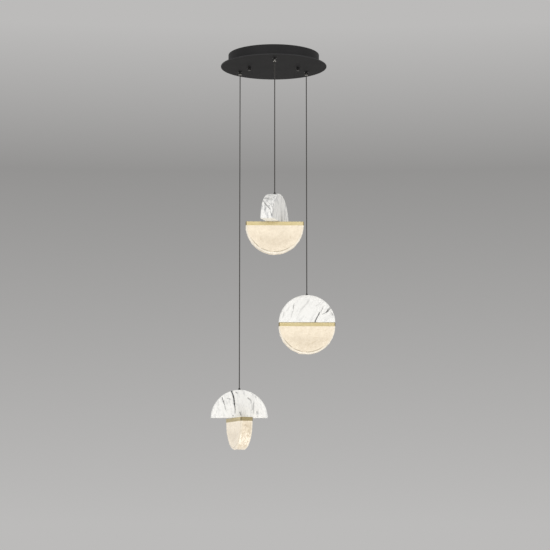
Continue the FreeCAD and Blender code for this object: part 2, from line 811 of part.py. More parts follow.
def make_brass_band(name):
    body = new_body(f"brass_band_{name}")
    outline = new_sketch(body, "XY_Plane", BAND_UNDER)
    draw_rectangle(outline, CHORD, "slab_thickness")
    pad(body, outline, f"-{BAND_UNDER}")
    round_edges(body, is_upright, "band_corner")
    round_edges(body, lies_at("0"), "band_edge_round")
    channel = new_sketch(body, "XY_Plane", BAND_UNDER)
    draw_rectangle(channel, CHANNEL_LENGTH, CHANNEL_WIDTH)
    pocket(body, channel, f"-{BAND_UNDER} - band_top", upward=True)
    hole = f"{NECK_RADIUS} + fit_gap"
    bore(body, [("0", BAND_UNDER), (hole, BAND_UNDER), (hole, "band_top"), ("0", "band_top")])
    posts = new_sketch(body, "XY_Plane", BOARD_TOP)
    draw_circles(posts, "post_radius", [("-post_place", "0"), ("post_place", "0")])
    pad(body, posts, f"-{BOARD_TOP} - band_top / 2")
    stop = new_sketch(body, "XY_Plane", "-band_top / 2")
    draw_circles(stop, "stop_pin_radius", [(PIN_CIRCLE, "0")])
    pad(body, stop, "stop_pin_height + band_top / 2")
    return body


def make_led_board(name, spot, turn_angle):
    board = block(f"led_board_plate_{name}", BOARD_LENGTH, "board_width", "board_thickness", BOARD_UNDER)
    hole = "board_hole_radius"
    bore(board, [("0", BAND_UNDER), (hole, BAND_UNDER), (hole, "0"), ("0", "0")])
    place(board, *spot, turn_angle)
    pieces = [board]
    columns = int(value("chip_columns"))
    first = f"({BOARD_LENGTH} / 2 - chip_end_margin)"
    x0, y0, z0 = spot
    for column in range(columns):
        along = f"({first} * {2 * column / (columns - 1) - 1})"
        for side in (-0.5, 0.5):
            across = f"({side} * chip_rows_apart)"
            chip = doc.addObject("Part::Box", f"chip_{name}")
            bind(chip, "Length", "chip_length")
            bind(chip, "Width", "chip_width")
            bind(chip, "Height", "chip_height")
            corner_x = f"({along} - chip_length / 2)"
            corner_y = f"({across} - chip_width / 2)"
            turned_x = f"{corner_x} * cos({turn_angle}) - {corner_y} * sin({turn_angle})"
            turned_y = f"{corner_x} * sin({turn_angle}) + {corner_y} * cos({turn_angle})"
            under = f"{z0} + {BOARD_UNDER} - chip_height"
            place(chip, f"{x0} + {turned_x}", f"{y0} + {turned_y}", under, turn_angle)
            pieces.append(chip)
    add_group(f"led_board_{name}", pieces)


def make_glass_half(name):
    body = new_body(f"glass_half_{name}")
    outline = new_sketch(body, "XZ_Plane")
    draw_half_disc(outline, BAND_UNDER, f"{BAND_UNDER} + cut_offset", upper=False)
    pad(body, outline, "slab_thickness", both_ways=True)
    round_edges(body, is_rim, "glass_edge_round")
    tongue = new_sketch(body, "XY_Plane", BAND_UNDER)
    draw_rectangle(tongue, f"({CHANNEL_LENGTH} - 2 * tongue_play)", f"({CHANNEL_WIDTH} - 2 * tongue_play)")
    pad(body, tongue, "tongue_height")
    return body


def make_lower_parts(name, pendant):
    """The glass half with its band and light, which turn under the marble."""
    x, y, band_z = pendant_spot(pendant)
    parts = {
        "slip_washer": ring(f"slip_washer_{name}", f"{NECK_RADIUS} + cord_play",
                            f"{PIN_CIRCLE} - {GROOVE_HALF}", "0", "slip_thickness"),
        "brass_band": make_brass_band(name),
        "diffuser": block(f"diffuser_{name}", f"({CHANNEL_LENGTH} - 2 * tongue_play)",
                          f"({CHANNEL_WIDTH} - 2 * tongue_play)", "diffuser_thickness", TONGUE_TOP),
        "glass_half": make_glass_half(name),
    }
    for label, body in parts.items():
        place(body, x, y, band_z, pendant["glass_turn"])
        add_node(f"{label}_{name}", body)
    make_led_board(name, (x, y, band_z), pendant["glass_turn"])


def check_model():
    for thing in doc.Objects:
        if "Invalid" in thing.State or "Error" in thing.State:
            raise RuntimeError(f"{thing.Label} failed: {thing.State}")
    for cut in cuts:
        if cut.Shape.Volume >= cut.BaseFeature.Shape.Volume - 1e-6:
            raise RuntimeError(f"{cut.Label} cuts nothing")
    for label, thing in nodes.items():
        if thing.Shape.isNull() or not thing.Shape.isValid() or not thing.Shape.Solids:
            raise RuntimeError(f"{label} has no valid solid")


def write_parts():
    os.makedirs("parts", exist_ok=True)
    for label, thing in nodes.items():
        thing.Shape.exportStep(f"parts/{label}.step")
    print(f"{len(nodes)} sub-parts written")


fill_sheet()
make_ceiling_bracket()
make_studs_and_nuts()
make_canopy_drum()
make_canopy_plate()
make_screws("drum_screws", DRUM_SCREW_SPOTS, f"({PLATE_TOP} + drum_wall)")
make_cord_grips()
make_led_driver()
make_terminals()
make_leads()
for pendant_name, pendant_data in PENDANTS.items():
    make_swing_parts(pendant_name, pendant_data)
    make_upper_parts(pendant_name, pendant_data)
    make_lower_parts(pendant_name, pendant_data)
doc.recompute()
check_model()
write_parts()
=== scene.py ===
"""Looks of a ceiling light with three swivelling marble and glass discs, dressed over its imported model."""

import math
from collections import namedtuple

import bmesh
import bpy
from bmesh.types import BMEdge, BMFace, BMVert
from mathutils import Euler, Matrix, Vector, noise


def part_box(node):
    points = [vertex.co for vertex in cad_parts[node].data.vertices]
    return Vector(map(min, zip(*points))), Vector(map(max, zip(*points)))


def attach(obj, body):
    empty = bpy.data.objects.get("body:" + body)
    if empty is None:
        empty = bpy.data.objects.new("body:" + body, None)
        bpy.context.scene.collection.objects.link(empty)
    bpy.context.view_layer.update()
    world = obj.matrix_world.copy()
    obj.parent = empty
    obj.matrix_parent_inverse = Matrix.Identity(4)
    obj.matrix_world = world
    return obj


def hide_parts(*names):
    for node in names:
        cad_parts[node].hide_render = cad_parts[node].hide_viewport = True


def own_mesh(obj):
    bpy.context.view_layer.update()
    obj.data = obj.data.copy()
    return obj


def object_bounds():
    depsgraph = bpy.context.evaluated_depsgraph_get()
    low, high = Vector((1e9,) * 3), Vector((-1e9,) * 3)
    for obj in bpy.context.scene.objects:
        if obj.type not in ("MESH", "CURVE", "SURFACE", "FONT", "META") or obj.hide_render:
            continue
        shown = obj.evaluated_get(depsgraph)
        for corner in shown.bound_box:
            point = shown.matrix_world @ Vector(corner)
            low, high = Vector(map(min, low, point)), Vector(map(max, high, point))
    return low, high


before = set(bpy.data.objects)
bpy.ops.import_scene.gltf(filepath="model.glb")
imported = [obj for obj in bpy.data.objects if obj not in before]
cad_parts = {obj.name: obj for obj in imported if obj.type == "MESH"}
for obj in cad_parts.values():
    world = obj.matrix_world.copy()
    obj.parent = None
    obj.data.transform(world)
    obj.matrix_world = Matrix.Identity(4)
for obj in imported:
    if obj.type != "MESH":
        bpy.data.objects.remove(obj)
cad_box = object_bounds()

MM = 0.001
UP = Vector((0, 0, 1))
MERGE_DISTANCE = 0.001 * MM

# Sharpest fold, in degrees, that is still shaded smooth on each new piece
GLASS_FOLD = 50
CORD_FOLD = 40
NUT_FOLD = 30
CASE_FOLD = 30

# Disc halves, measured from the top of the bar on the pendant's axis
DISC_RADIUS = 93 * MM
SLAB_THICKNESS = 41 * MM
SWIVEL_GAP = 0.5 * MM
BAR_HEIGHT = 12.5 * MM
# Painted shade browns the bar beyond this distance from its middle, fading in over the next length
BAR_SHADE_START = 88.5 * MM
BAR_SHADE_FADE = 3 * MM
CUT_OFFSET = 2.5 * MM
CHIP_TOP = -8.3 * MM
CHIP_FADE = 0.2 * MM

# Cast glass
GLASS_EDGE_ROUND = 5 * MM
GLASS_ROUND_STEPS = 6
GLASS_GRID = 1.25 * MM
GLASS_STEPS = 420
TONGUE_INSET = 1.8 * MM
TONGUE_HEIGHT = 1 * MM

# Relief of the cast glass: the size of each kind of mark and its share of the height. It lies a little
# below the plain surface, is deeper and finer on the rim than on the faces, and dies out towards the cut.
DENT_SIZE = 11 * MM
DENT_SHARE = 0.9
DENT_LEVEL = 0.45
RIPPLE_SIZE = 17 * MM
RIPPLE_SHARE = 0.5
RIPPLE_FALL = 0.6
RIPPLE_GAP = 2.0
RIPPLE_OCTAVES = 4
LUMP_SIZE = 7 * MM
LUMP_SHARE = 0.5
PIT_SIZE = 4.6 * MM
PIT_SHARE = 0.4
PIT_REACH = 0.3
RELIEF_SINK = 0.4
FACE_RELIEF = 0.5 * MM
RIM_RELIEF = 1.7 * MM
RIM_FINENESS = 1.6
RIM_DRAW = 1.7
CALM_DEPTH = 4 * MM
GLASS_SEED = Vector((0.37, 0.21, 0.53))

# Bubbles in the glass: the size of their cells, and their reach as a share of a cell. Coarse ones differ
# in size and have a dark ring.
FINE_CELL = 1.7 * MM
FINE_REACH = 0.36
COARSE_CELL = 4.4 * MM
COARSE_REACH = 0.12
COARSE_GROWTH = 0.24
RING_PLACE = 1.15
RING_WIDTH = 0.08
BUBBLE_LIGHT = 0.33
RING_SHADE = 0.29

# Light in the glass: glows below the bar and towards the rim, the band of the rim with its rounded corners,
# and a broken line of painted shade inside the rim that runs round its lower side
CLOUD_SIZE = 20 * MM
CLOUD_LIGHT = 0.4
FACE_RELIEF_LIGHT = 0.3
RIM_RELIEF_LIGHT = 0.75
PLAIN_GLOW = 0.25
BAR_GLOW = 0.25
BAR_GLOW_REACH = 46 * MM
BAR_GLOW_FADE = 24 * MM
BAR_GLOW_CALM = 0.2
RIM_GLOW = 0.2
RIM_GLOW_START = 62 * MM
RIM_GLOW_FADE = 22 * MM
RIM_BAND = 4.5 * MM
RIM_BAND_FADE = 1.5 * MM
RIM_BAND_SHADE = 0.2
CORNER_FADE = 2 * MM
LINE_INSET = 6 * MM
LINE_WIDTH = 1.9 * MM
LINE_WANDER = 5 * MM
LINE_TOP = 36 * MM
LINE_RISE = 14 * MM
LINE_END = 58 * MM
LINE_FADE = 20 * MM
LINE_SHADE_DEPTH = 0.8
LINE_GAPS = 0.36
LINE_GAP_EDGE = 7

# Share of plain light on the rounded rim of each glass half
RIM_LIGHT = {"high": 0.8, "mid": 0.8, "low": 0.35}

# Cords
CORD_DIAMETER = 3.2 * MM
CORD_STEPS = 24
CORD_SIDES = 20
STRANDS = 8
BRAID_PITCH = 4 * MM

# Knurled cap nuts. The neck goes in from the barrel and down from the knurling, and the collar goes in from
# the outside and up from the end.
KNURL_DEPTH = 0.35 * MM
KNURL_ROWS = 6
KNURL_TEETH = 30
NUT_SHOULDER = 0.9 * MM
NUT_SHOULDER_TAPER = 0.92
NUT_NECK = ((0.5 * MM, 0.3 * MM), (0.5 * MM, 0.7 * MM))
NUT_COLLAR = ((0.4 * MM, 2 * MM), (0.5 * MM, 0.9 * MM), (1.4 * MM, 0.1 * MM), (2 * MM, 0))
NUT_END = 3 * MM

# Bare tip of the cord grips, and the band at the rim of the canopy's plate, which is smoother and painted
# paler as a highlight
GRIP_TIP = 8 * MM
TIP_FADE = 0.8 * MM
PLATE_HIGHLIGHT_BAND = 1.2 * MM
PLATE_BAND_FADE = 0.3 * MM

# Driver case
CASE_CORNER = 2 * MM
CASE_CORNER_STEPS = 4
CASE_EDGE = 0.8 * MM
CASE_EDGE_STEPS = 2
CASE_SEAM = 0.8 * MM
LID_DEPTH = 9 * MM
LID_SEAM_DEPTH = 0.5 * MM
COVER_LENGTH = 20 * MM
COVER_SEAM_DEPTH = 0.4 * MM
PANEL_MARGIN = 6 * MM
PANEL_DEPTH = 0.4 * MM
SINK_SLOPE = 0.05 * MM
VENT_COUNT = 15
VENT_PITCH = 5 * MM
VENT_WIDTH = 2 * MM
VENT_DEPTH = 1 * MM
VENT_SLOPE = 0.2 * MM
VENT_LEVELS = (5 * MM, 13 * MM)
EAR_LENGTH = 12 * MM
EAR_WIDTH = 20 * MM
EAR_THICKNESS = 1.5 * MM
EAR_HOLE = 1.6 * MM
EAR_HOLE_SIDES = 24
COVER_SCREW = 2.4 * MM
COVER_SCREW_TAPER = 0.8
COVER_SCREW_HEIGHT = 1 * MM
COVER_SCREW_SIDES = 20

# A face looks along an axis if its normal has more than this share on it, and lies flush within this height
FACING = 0.9
FLUSH = 0.01 * MM

# Veins drift from their knots in wide bends and wander about them in small ones. Their sides are ragged and
# feathered, their ends taper to a tip, and a soft halo lies round them.
VEIN_DRIFT = 6 * MM
DRIFT_SIZE = 24 * MM
VEIN_WANDER = 3 * MM
WANDER_SIZE = 7 * MM
RAG_SIZE = 6 * MM
RAG_SPREAD = 1.9
RAG_DROP = 0.32
RAG_LEAST = 0.12
FEATHER = 1.4 * MM
FEATHER_SIZE = 1.6 * MM
TAPER_RATE = 3
TIP_WIDTH = 0.2
VEIN_EDGE = 1.7
HALO_REACH = 4
HALO_SHARE = 0.22

# Soft marks of the stone: pale streaks, which also make the veins uneven, flecks and hair veins
STREAK_SIZE = 8 * MM
STREAK_LEVEL = 0.5
STREAK_RISE = 0.2
STREAK_SHARE = 1.8
STAIN_SPREAD = 1.4
STAIN_LEAST = 0.3
FLECK_SIZE = 5 * MM
FLECK_LEVEL = 0.55
FLECK_EDGE = 7
HAIR_SIZE = 20 * MM
HAIR_WIDTH = 0.012
HAIR_SHARE = 0.35

# Camera, from the middle of the ceiling face
CAMERA_PLACE = Vector((-0.1414, -5.6392, -1.4222))
CAMERA_TILT = math.radians(6.966)
CAMERA_PAN = math.radians(-1.480)
CAMERA_REACH = 200.0
FOCAL_PIXELS = 1741.0
IMAGE_PIXELS = 550
SENSOR_WIDTH = 36.0

# Studio: the floor, the place, diameter and watts of each soft lamp, and the plain light from all round.
# The backdrop is darkest at one height of the view, and fades to paler below and above it.
FLOOR_DEPTH = 5.6
FLOOR_REACH = 60.0
LAMPS = {
    "key_lamp": ((-2.6, -4.2, 2.2), 2.6, 46),
    "front_lamp": ((-0.4, -6.4, 0.4), 3.3, 33),
    "fill_lamp": ((3.4, -3.4, -0.3), 3.0, 36),
    "low_lamp": ((0.0, -0.6, -4.6), 3.0, 66),
    "back_lamp": ((-2.4, 4.2, -0.9), 3.0, 6),
}
PLAIN_LIGHT = 0.75
DARK_HEIGHT = 0.18
DARK_FADE_BELOW = 0.2
DARK_FADE_ABOVE = 0.08


class Pendant:
    """One light: the line of its cord, the top of its bar and the turn of its two halves."""

    def __init__(self, name, marble_turn, glass_turn):
        low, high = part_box("cord_" + name)
        middle = (low + high) / 2
        bar_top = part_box("marble_half_" + name)[0].z - SWIVEL_GAP
        self.name = name
        self.cord_top = Vector((middle.x, middle.y, high.z))
        self.cord_foot = Vector((middle.x, middle.y, low.z))
        self.zero = Vector((middle.x, middle.y, bar_top))
        self.marble_turn = math.radians(marble_turn)
        self.glass_turn = math.radians(glass_turn)


PENDANTS = (
    Pendant("high", marble_turn=72, glass_turn=0),
    Pendant("mid", marble_turn=0, glass_turn=0),
    Pendant("low", marble_turn=0, glass_turn=-75),
)


def tint(red, green, blue):
    """A colour as seen on a screen, 0 to 255, as the linear colour that a shader takes."""
    shares = [value / 255 for value in (red, green, blue)]
    linear = [s / 12.92 if s <= 0.04045 else ((s + 0.055) / 1.055) ** 2.4 for s in shares]
    return (*linear, 1.0)


def shade(colour, factor):
    """A linear colour made darker or lighter."""
    return (*[min(part * factor, 1.0) for part in colour[:3]], 1.0)


class Field:
    """A value that varies over a surface. Arithmetic on it adds Math nodes to its finish."""

    def __init__(self, finish, socket):
        self.finish = finish
        self.socket = socket

    def __add__(self, other):
        return self.finish.math("ADD", self, other)

    __radd__ = __add__

    def __sub__(self, other):
        return self.finish.math("SUBTRACT", self, other)

    def __rsub__(self, other):
        return self.finish.math("SUBTRACT", other, self)

    def __mul__(self, other):
        return self.finish.math("MULTIPLY", self, other)

    __rmul__ = __mul__

    def __truediv__(self, other):
        return self.finish.math("DIVIDE", self, other)

    def __rtruediv__(self, other):
        return self.finish.math("DIVIDE", other, self)

    def __pow__(self, power):
        return self.finish.math("POWER", self, power)

    def __neg__(self):
        return self.finish.math("MULTIPLY", self, -1.0)

    def __abs__(self):
        return self.finish.math("ABSOLUTE", self)

    def held(self):
        """The same value kept between 0 and 1."""
        return self.finish.node("Clamp", sockets={"Value": self})

    def past(self, start, reach):
        """0 at a start and 1 a reach above it, or below it where the reach is negative, held outside."""
        return ((self - start) / reach).held()

    def near(self, level, width):
        """1 at a level, and 0 from a width above or below it."""
        return (1 - abs(self - level) / width).held()

    def about(self, middle, spread):
        """A value from 0 to 1 as one that spreads about a middle."""
        return self * spread + (middle - spread / 2)


class Finish:
    """A node tree written as expressions: a material's, or the world's."""

    def __init__(self, owner):
        owner.use_nodes = True
        self.owner = owner
        self.tree = owner.node_tree
        self.tree.nodes.clear()

    def node(self, kind, settings=None, sockets=None, out=0):
        """Adds a node, sets its own settings first and then its sockets, and gives one of its outputs."""
        made = self.tree.nodes.new("ShaderNode" + kind)
        for name, value in (settings or {}).items():
            setattr(made, name, value)
        for name, value in (sockets or {}).items():
            if isinstance(value, Field):
                self.tree.links.new(value.socket, made.inputs[name])
            else:
                made.inputs[name].default_value = value
        return Field(self, made.outputs[out]) if made.outputs else None

    def math(self, operation, *values):
        return self.node("Math", {"operation": operation}, dict(enumerate(values)))

    def vector(self, operation, *values, out=0):
        return self.node("VectorMath", {"operation": operation}, dict(enumerate(values)), out)

    def times(self, direction, length):
        """A fixed direction made as long as a value says."""
        return self.node("VectorMath", {"operation": "SCALE"}, {0: direction, "Scale": length})

    def place(self, centre=(0, 0, 0), turn=0.0):
        """Where a point lies from a centre, in axes turned about the vertical."""
        here = self.node("TexCoord", out="Object")
        return self.seen_from(here, centre, (0, 0, turn), (1, 1, 1))

    def seen_from(self, place, centre, turn, stretch):
        """A place measured from a centre, in turned and stretched axes."""
        sockets = {"Vector": place, "Location": centre, "Rotation": turn, "Scale": stretch}
        return self.node("Mapping", {"vector_type": "TEXTURE"}, sockets)

    def drawn_out(self, place, stretch, turn=(0, 0, 0)):
        """A place whose patterns come out longer along each turned axis by its share of stretch."""
        return self.seen_from(place, (0, 0, 0), turn, stretch)

    def split(self, vector):
        first = self.node("SeparateXYZ", sockets={0: vector})
        return [Field(self, socket) for socket in first.socket.node.outputs]

    def noise(self, place, size, detail, rough=0.5, out=0):
        sockets = {"Vector": place, "Scale": 1 / size, "Detail": detail, "Roughness": rough}
        return self.node("TexNoise", sockets=sockets, out=out)

    def cells(self, place, size):
        """How far a point lies from the middle of its cell, as a share of the cells' size."""
        return self.node("TexVoronoi", sockets={"Vector": place, "Scale": 1 / size})

    def mix(self, share, first, second):
        """A colour between two others."""
        sockets = {0: share, 6: first, 7: second}
        return self.node("Mix", {"data_type": "RGBA"}, sockets, out=2)

    def shades(self, share, colour, dark, light):
        """One colour between a darker and a lighter shade of it."""
        return self.mix(share, shade(colour, dark), shade(colour, light))

    def bump(self, height, depth, strength):
        return self.node("Bump", sockets={"Height": height, "Distance": depth, "Strength": strength})

    def surface(self, **sockets):
        """Ends the finish with one surface shader. Socket names are written with underscores."""
        named = {name.replace("_", " "): value for name, value in sockets.items()}
        shader = self.node("BsdfPrincipled", sockets=named)
        self.node("OutputMaterial", sockets={"Surface": shader})
        return self.owner


def new_finish(name):
    return Finish(bpy.data.materials.new(name))


def powder_coat(name, colour, highlight_radius, roughness, gloss, grain=0.9 * MM):
    """Sprayed matt coat with orange-peel grain and faint clouds; outside a radius smoother, with a painted
    highlight.
    """
    coat = new_finish(name)
    place = coat.place()
    east, north, _ = coat.split(place)
    rim = ((east * east + north * north) ** 0.5).past(highlight_radius, PLATE_BAND_FADE)
    cloud = coat.noise(place, size=60 * MM, detail=3)
    peel = coat.noise(place, size=grain, detail=2)
    body = coat.shades(cloud, colour, dark=0.88, light=1.12)
    return coat.surface(
        # Painted highlight: the band outside the radius is painted paler than the coat.
        Base_Color=coat.mix(rim, body, shade(colour, 2.2)),
        Roughness=cloud.about(roughness, 0.14) - rim * 0.25,
        Specular_IOR_Level=gloss,
        Normal=coat.bump(peel, depth=0.05 * MM, strength=0.35),
    )


def turned_metal(name, colour, tip_colour, tip_top, roughness):
    """Blackened metal with the fine rings that turning leaves round it, and a bare tip below a level."""
    metal = new_finish(name)
    place = metal.place()
    height = metal.split(place)[2]
    tip = height.past(tip_top, -TIP_FADE)
    rings = metal.noise(metal.drawn_out(place, (60, 60, 1)), size=0.25 * MM, detail=2)
    smudge = metal.noise(place, size=9 * MM, detail=3)
    body = metal.shades(smudge, colour, dark=0.8, light=1.2)
    return metal.surface(
        Base_Color=metal.mix(tip, body, tip_colour),
        Metallic=tip * 0.7 + 0.3,
        Roughness=rings.about(roughness, 0.16) + smudge.about(0, 0.1) - tip * 0.12,
        Normal=metal.bump(rings, depth=0.02 * MM, strength=0.5),
    )


def zinc_plate(name):
    """Bright zinc with a faint straw and blue bloom."""
    zinc = new_finish(name)
    place = zinc.place()
    bloom = zinc.noise(place, size=14 * MM, detail=4, rough=0.6)
    spangle = zinc.cells(place, size=1.6 * MM)
    return zinc.surface(
        Base_Color=zinc.mix(bloom, tint(196, 192, 176), tint(188, 196, 208)),
        Metallic=1.0,
        Roughness=bloom * 0.2 + spangle * 0.06 + 0.22,
        Normal=zinc.bump(spangle, depth=0.03 * MM, strength=0.2),
    )


def champagne_gold(pendant):
    """Satin gold brushed along the bar, with painted shade that browns it towards its ends."""
    gold = new_finish("champagne_gold_" + pendant.name)
    place = gold.place(pendant.zero, pendant.glass_turn)
    across = gold.split(place)[0]
    brushed = gold.noise(gold.drawn_out(place, (90, 1, 1)), size=0.35 * MM, detail=3, rough=0.65)
    cloud = gold.noise(gold.drawn_out(place, (3, 1, 1)), size=14 * MM, detail=3)
    body = gold.mix((cloud * 1.6 - 0.3).held(), tint(208, 191, 142), tint(228, 213, 170))
    # Painted shade: the ends of the bar are painted browner.
    end = abs(across).past(BAR_SHADE_START, BAR_SHADE_FADE)
    return gold.surface(
        Base_Color=gold.mix(end, body, tint(163, 149, 113)),
        Metallic=1.0,
        Roughness=brushed * 0.18 + cloud * 0.08 + 0.26,
        Normal=gold.bump(brushed, depth=0.03 * MM, strength=0.35),
    )


def plain_brass(name):
    brass = new_finish(name)
    dull = brass.noise(brass.place(), size=4 * MM, detail=4)
    return brass.surface(
        Base_Color=brass.mix(dull, tint(176, 138, 70), tint(224, 190, 112)),
        Metallic=1.0,
        Roughness=dull * 0.3 + 0.18,
    )


def moulded(name, colour, roughness, spark=0.6 * MM):
    """Moulded plastic or rubber with a spark-eroded grain."""
    plastic = new_finish(name)
    place = plastic.place()
    grain = plastic.noise(place, size=spark, detail=3)
    flow = plastic.noise(place, size=18 * MM, detail=2)
    return plastic.surface(
        Base_Color=plastic.shades(flow, colour, dark=0.9, light=1.06),
        Roughness=grain.about(roughness, 0.18),
        Normal=plastic.bump(grain, depth=0.04 * MM, strength=0.3),
    )


def light_board(pendant):
    """White solder mask, with the yellow phosphor of the chips below it."""
    board = new_finish("light_board_" + pendant.name)
    place = board.place(pendant.zero, pendant.glass_turn)
    height = board.split(place)[2]
    chip = height.past(CHIP_TOP, -CHIP_FADE)
    speckle = board.noise(place, size=1.2 * MM, detail=2)
    mask = board.mix(speckle, tint(232, 232, 226), tint(246, 246, 242))
    return board.surface(
        Base_Color=board.mix(chip, mask, tint(236, 208, 96)),
        Roughness=speckle * 0.2 + 0.3,
        Emission_Color=board.mix(chip, tint(0, 0, 0), tint(255, 226, 178)),
        Emission_Strength=1.0,
    )


def opal(pendant):
    """Milky strip that the chips light from above."""
    strip = new_finish("opal_" + pendant.name)
    place = strip.place(pendant.zero, pendant.glass_turn)
    milk = strip.noise(place, size=6 * MM, detail=3)
    return strip.surface(
        Base_Color=strip.mix(milk, tint(244, 238, 226), tint(252, 248, 240)),
        Roughness=milk * 0.2 + 0.35,
        Emission_Color=strip.mix(milk, tint(255, 232, 190), tint(255, 240, 210)),
        Emission_Strength=1.0,
    )


def braid(name):
    """Fine black braid: two sets of strands winding round the cord against each other, painted shade
    between.
    """
    cloth = new_finish(name)
    around, along, _ = cloth.split(cloth.node("TexCoord", out="UV"))
    turns = around * (STRANDS * math.tau)
    climb = along * (math.tau / BRAID_PITCH)
    left = cloth.math("SINE", turns + climb)
    right = cloth.math("SINE", turns - climb)
    weave_and_gap_shade = cloth.math("MAXIMUM", left, right) * 0.5 + 0.5
    fuzz = cloth.noise(cloth.place(), size=1.1 * MM, detail=3)
    return cloth.surface(
        # The gaps between the strands are painted darker as shade.
        Base_Color=cloth.mix((weave_and_gap_shade * 0.7 + fuzz * 0.3).held(), tint(20, 19, 18), tint(58, 55, 52)),
        Roughness=fuzz * 0.2 + 0.62,
        Normal=cloth.bump(weave_and_gap_shade, depth=0.15 * MM, strength=0.6),
        Sheen_Weight=0.15,
    )


# A vein is a chain of knots on the face that shows it best: mm across and up from the pendant's zero,
# width in mm and depth of grey. It runs through the stone as a sheet along the lean, and ends at its reach.
# The face lies at a depth in mm along the direction inward, and the reach is in mm. Streaks and flecks say
# how strongly these show, and the streaks lean by their turn in degrees.
Knot = namedtuple("Knot", "across up width grey")
Stone = namedtuple("Stone", "inward depth lean reach streaks flecks streak_turn veins")


def chain(*knots):
    return [Knot(*knot) for knot in knots]


STONES = {
    "high": Stone(
        inward=Vector((1, 0, 0)),
        depth=-90,
        lean=Vector((1, 0.10, 0.06)),
        reach=60,
        streaks=1.7,
        flecks=0.5,
        streak_turn=0,
        veins=(
            chain((-17, 62, 3.0, 0.45), (1, 40, 2.8, 0.62), (12, 27, 2.4, 0.5), (19, 4, 2.4, 0.42)),
            chain((-14, 70, 7.0, 0.25), (2, 66, 8.0, 0.29), (15, 61, 5.0, 0.25)),
            chain((-1, 56, 2.0, 0.26), (11, 46, 2.0, 0.34), (20, 33, 2.0, 0.26)),
            chain((-8, 46, 2.4, 0.30), (-4, 22, 1.6, 0.20)),
            # This last line is no vein: it is painted shade along the edge between the end face and the flat
            # face.
            chain((20, 62, 2.6, 0.34), (20, 8, 2.6, 0.34)),
        ),
    ),
    "mid": Stone(
        inward=Vector((0, 1, 0)),
        depth=-20.5,
        lean=Vector((0.30, 1, 0.15)),
        reach=90,
        streaks=0.4,
        flecks=0.2,
        streak_turn=33,
        veins=(
            chain((43, 36, 3.2, 0.75), (33, 16, 3.6, 0.78), (23, -6, 3.0, 0.7)),
            chain((53, 55, 2.6, 0.42), (45, 33, 2.6, 0.45)),
            chain((88, 62, 7.0, 0.45), (74, 46, 6.0, 0.45), (63, 35, 5.0, 0.85), (59, 32, 3.4, 0.5)),
            chain((61, 34, 4.0, 0.40), (47, 27, 3.0, 0.30)),
            chain((-41, 63, 3.0, 0.48), (-47, 38, 2.2, 0.36), (-54, 10, 2.0, 0.18)),
            chain((9, 76, 5.0, 0.16), (-18, 44, 6.0, 0.15), (-37, 10, 4.0, 0.12)),
            chain((45, 66, 3.0, 0.26), (27, 53, 3.0, 0.18)),
            chain((-75, 37, 3.0, 0.22), (-80, 14, 3.0, 0.24)),
            chain((76, 38, 3.4, 0.26), (84, 22, 3.4, 0.34)),
        ),
    ),
    "low": Stone(
        inward=Vector((0, 1, 0)),
        depth=-20.5,
        lean=Vector((-0.22, 1, 0.10)),
        reach=90,
        streaks=0.6,
        flecks=1.0,
        streak_turn=-8,
        veins=(
            chain(
                (-31, 102, 4.6, 1.0),
                (-18, 65, 3.6, 0.95),
                (-16, 48, 4.0, 1.0),
                (-14, 32, 2.2, 0.72),
                (-14, 13, 2.0, 0.65),
            ),
            chain((-57, 68, 3.6, 0.66), (-51, 51, 2.4, 0.66), (-42, 20, 2.0, 0.30)),
            chain((-41, 64, 3.0, 0.34), (-27, 58, 3.0, 0.36)),
            chain((-14, 82, 2.6, 0.60), (-2, 79, 2.6, 0.50)),
            chain((25, 68, 3.4, 0.46), (36, 58, 3.6, 0.46), (41, 48, 3.0, 0.28)),
            chain((48, 56, 2.6, 0.36), (46, 32, 3.0, 0.42), (47, 10, 2.4, 0.28)),
            chain((53, 70, 3.0, 0.40), (51, 64, 2.6, 0.30)),
            chain((57, 24, 2.8, 0.40), (57, 14, 2.8, 0.34)),
            chain((1, 19, 3.4, 0.58), (7, 6, 3.0, 0.50)),
            chain((-22, 8, 3.0, 0.50), (-18, 5, 2.6, 0.44)),
            chain((-72, 24, 2.6, 0.26), (-75, 12, 2.0, 0.18)),
        ),
    ),
}


def vein_marks(finish, stone, place, ragged, feather):
    """How dark the veins make a point: tapered lines with soft halos that fade from half their reach."""
    inside = finish.vector("DOT_PRODUCT", place, stone.inward, out=1) - stone.depth * MM
    lean = stone.lean / stone.lean.dot(stone.inward)
    on_face = finish.vector("SUBTRACT", place, finish.times(lean, inside))
    across = stone.inward.cross(UP)
    marks = 0.0
    for vein in stone.veins:
        for head, foot in zip(vein, vein[1:]):
            start = (stone.inward * stone.depth + across * head.across + UP * head.up) * MM
            along = (across * (foot.across - head.across) + UP * (foot.up - head.up)) * MM
            from_start = finish.vector("SUBTRACT", on_face, start)
            share = finish.vector("DOT_PRODUCT", from_start, along / along.length_squared, out=1).held()
            off = finish.vector("DISTANCE", from_start, finish.times(along, share), out=1) + feather
            half = (share * (foot.width - head.width) + head.width) * ragged * MM
            if head is vein[0]:
                half = half * (share * TAPER_RATE + TIP_WIDTH).held()
            if foot is vein[-1]:
                half = half * ((1 - share) * TAPER_RATE + TIP_WIDTH).held()
            grey = share * (foot.grey - head.grey) + head.grey
            line = ((1 - off / half) * VEIN_EDGE).held()
            halo = (1 - off / (half * HALO_REACH)).held() ** 2
            marks = finish.math("MAXIMUM", (line + halo * HALO_SHARE) * grey, marks)
    return marks * (inside / (stone.reach * MM)).past(1, -0.5)


def bent_place(marble, place):
    """A place moved in wide and in small bends, so that what is drawn on it runs unevenly."""
    drift = marble.noise(place, DRIFT_SIZE, detail=2, out=1)
    wander = marble.noise(place, WANDER_SIZE, detail=3, out=1)
    bent = marble.vector("MULTIPLY_ADD", drift, [VEIN_DRIFT] * 3, place)
    bent = marble.vector("MULTIPLY_ADD", wander, [VEIN_WANDER] * 3, bent)
    return marble.vector("SUBTRACT", bent, [(VEIN_DRIFT + VEIN_WANDER) / 2] * 3)


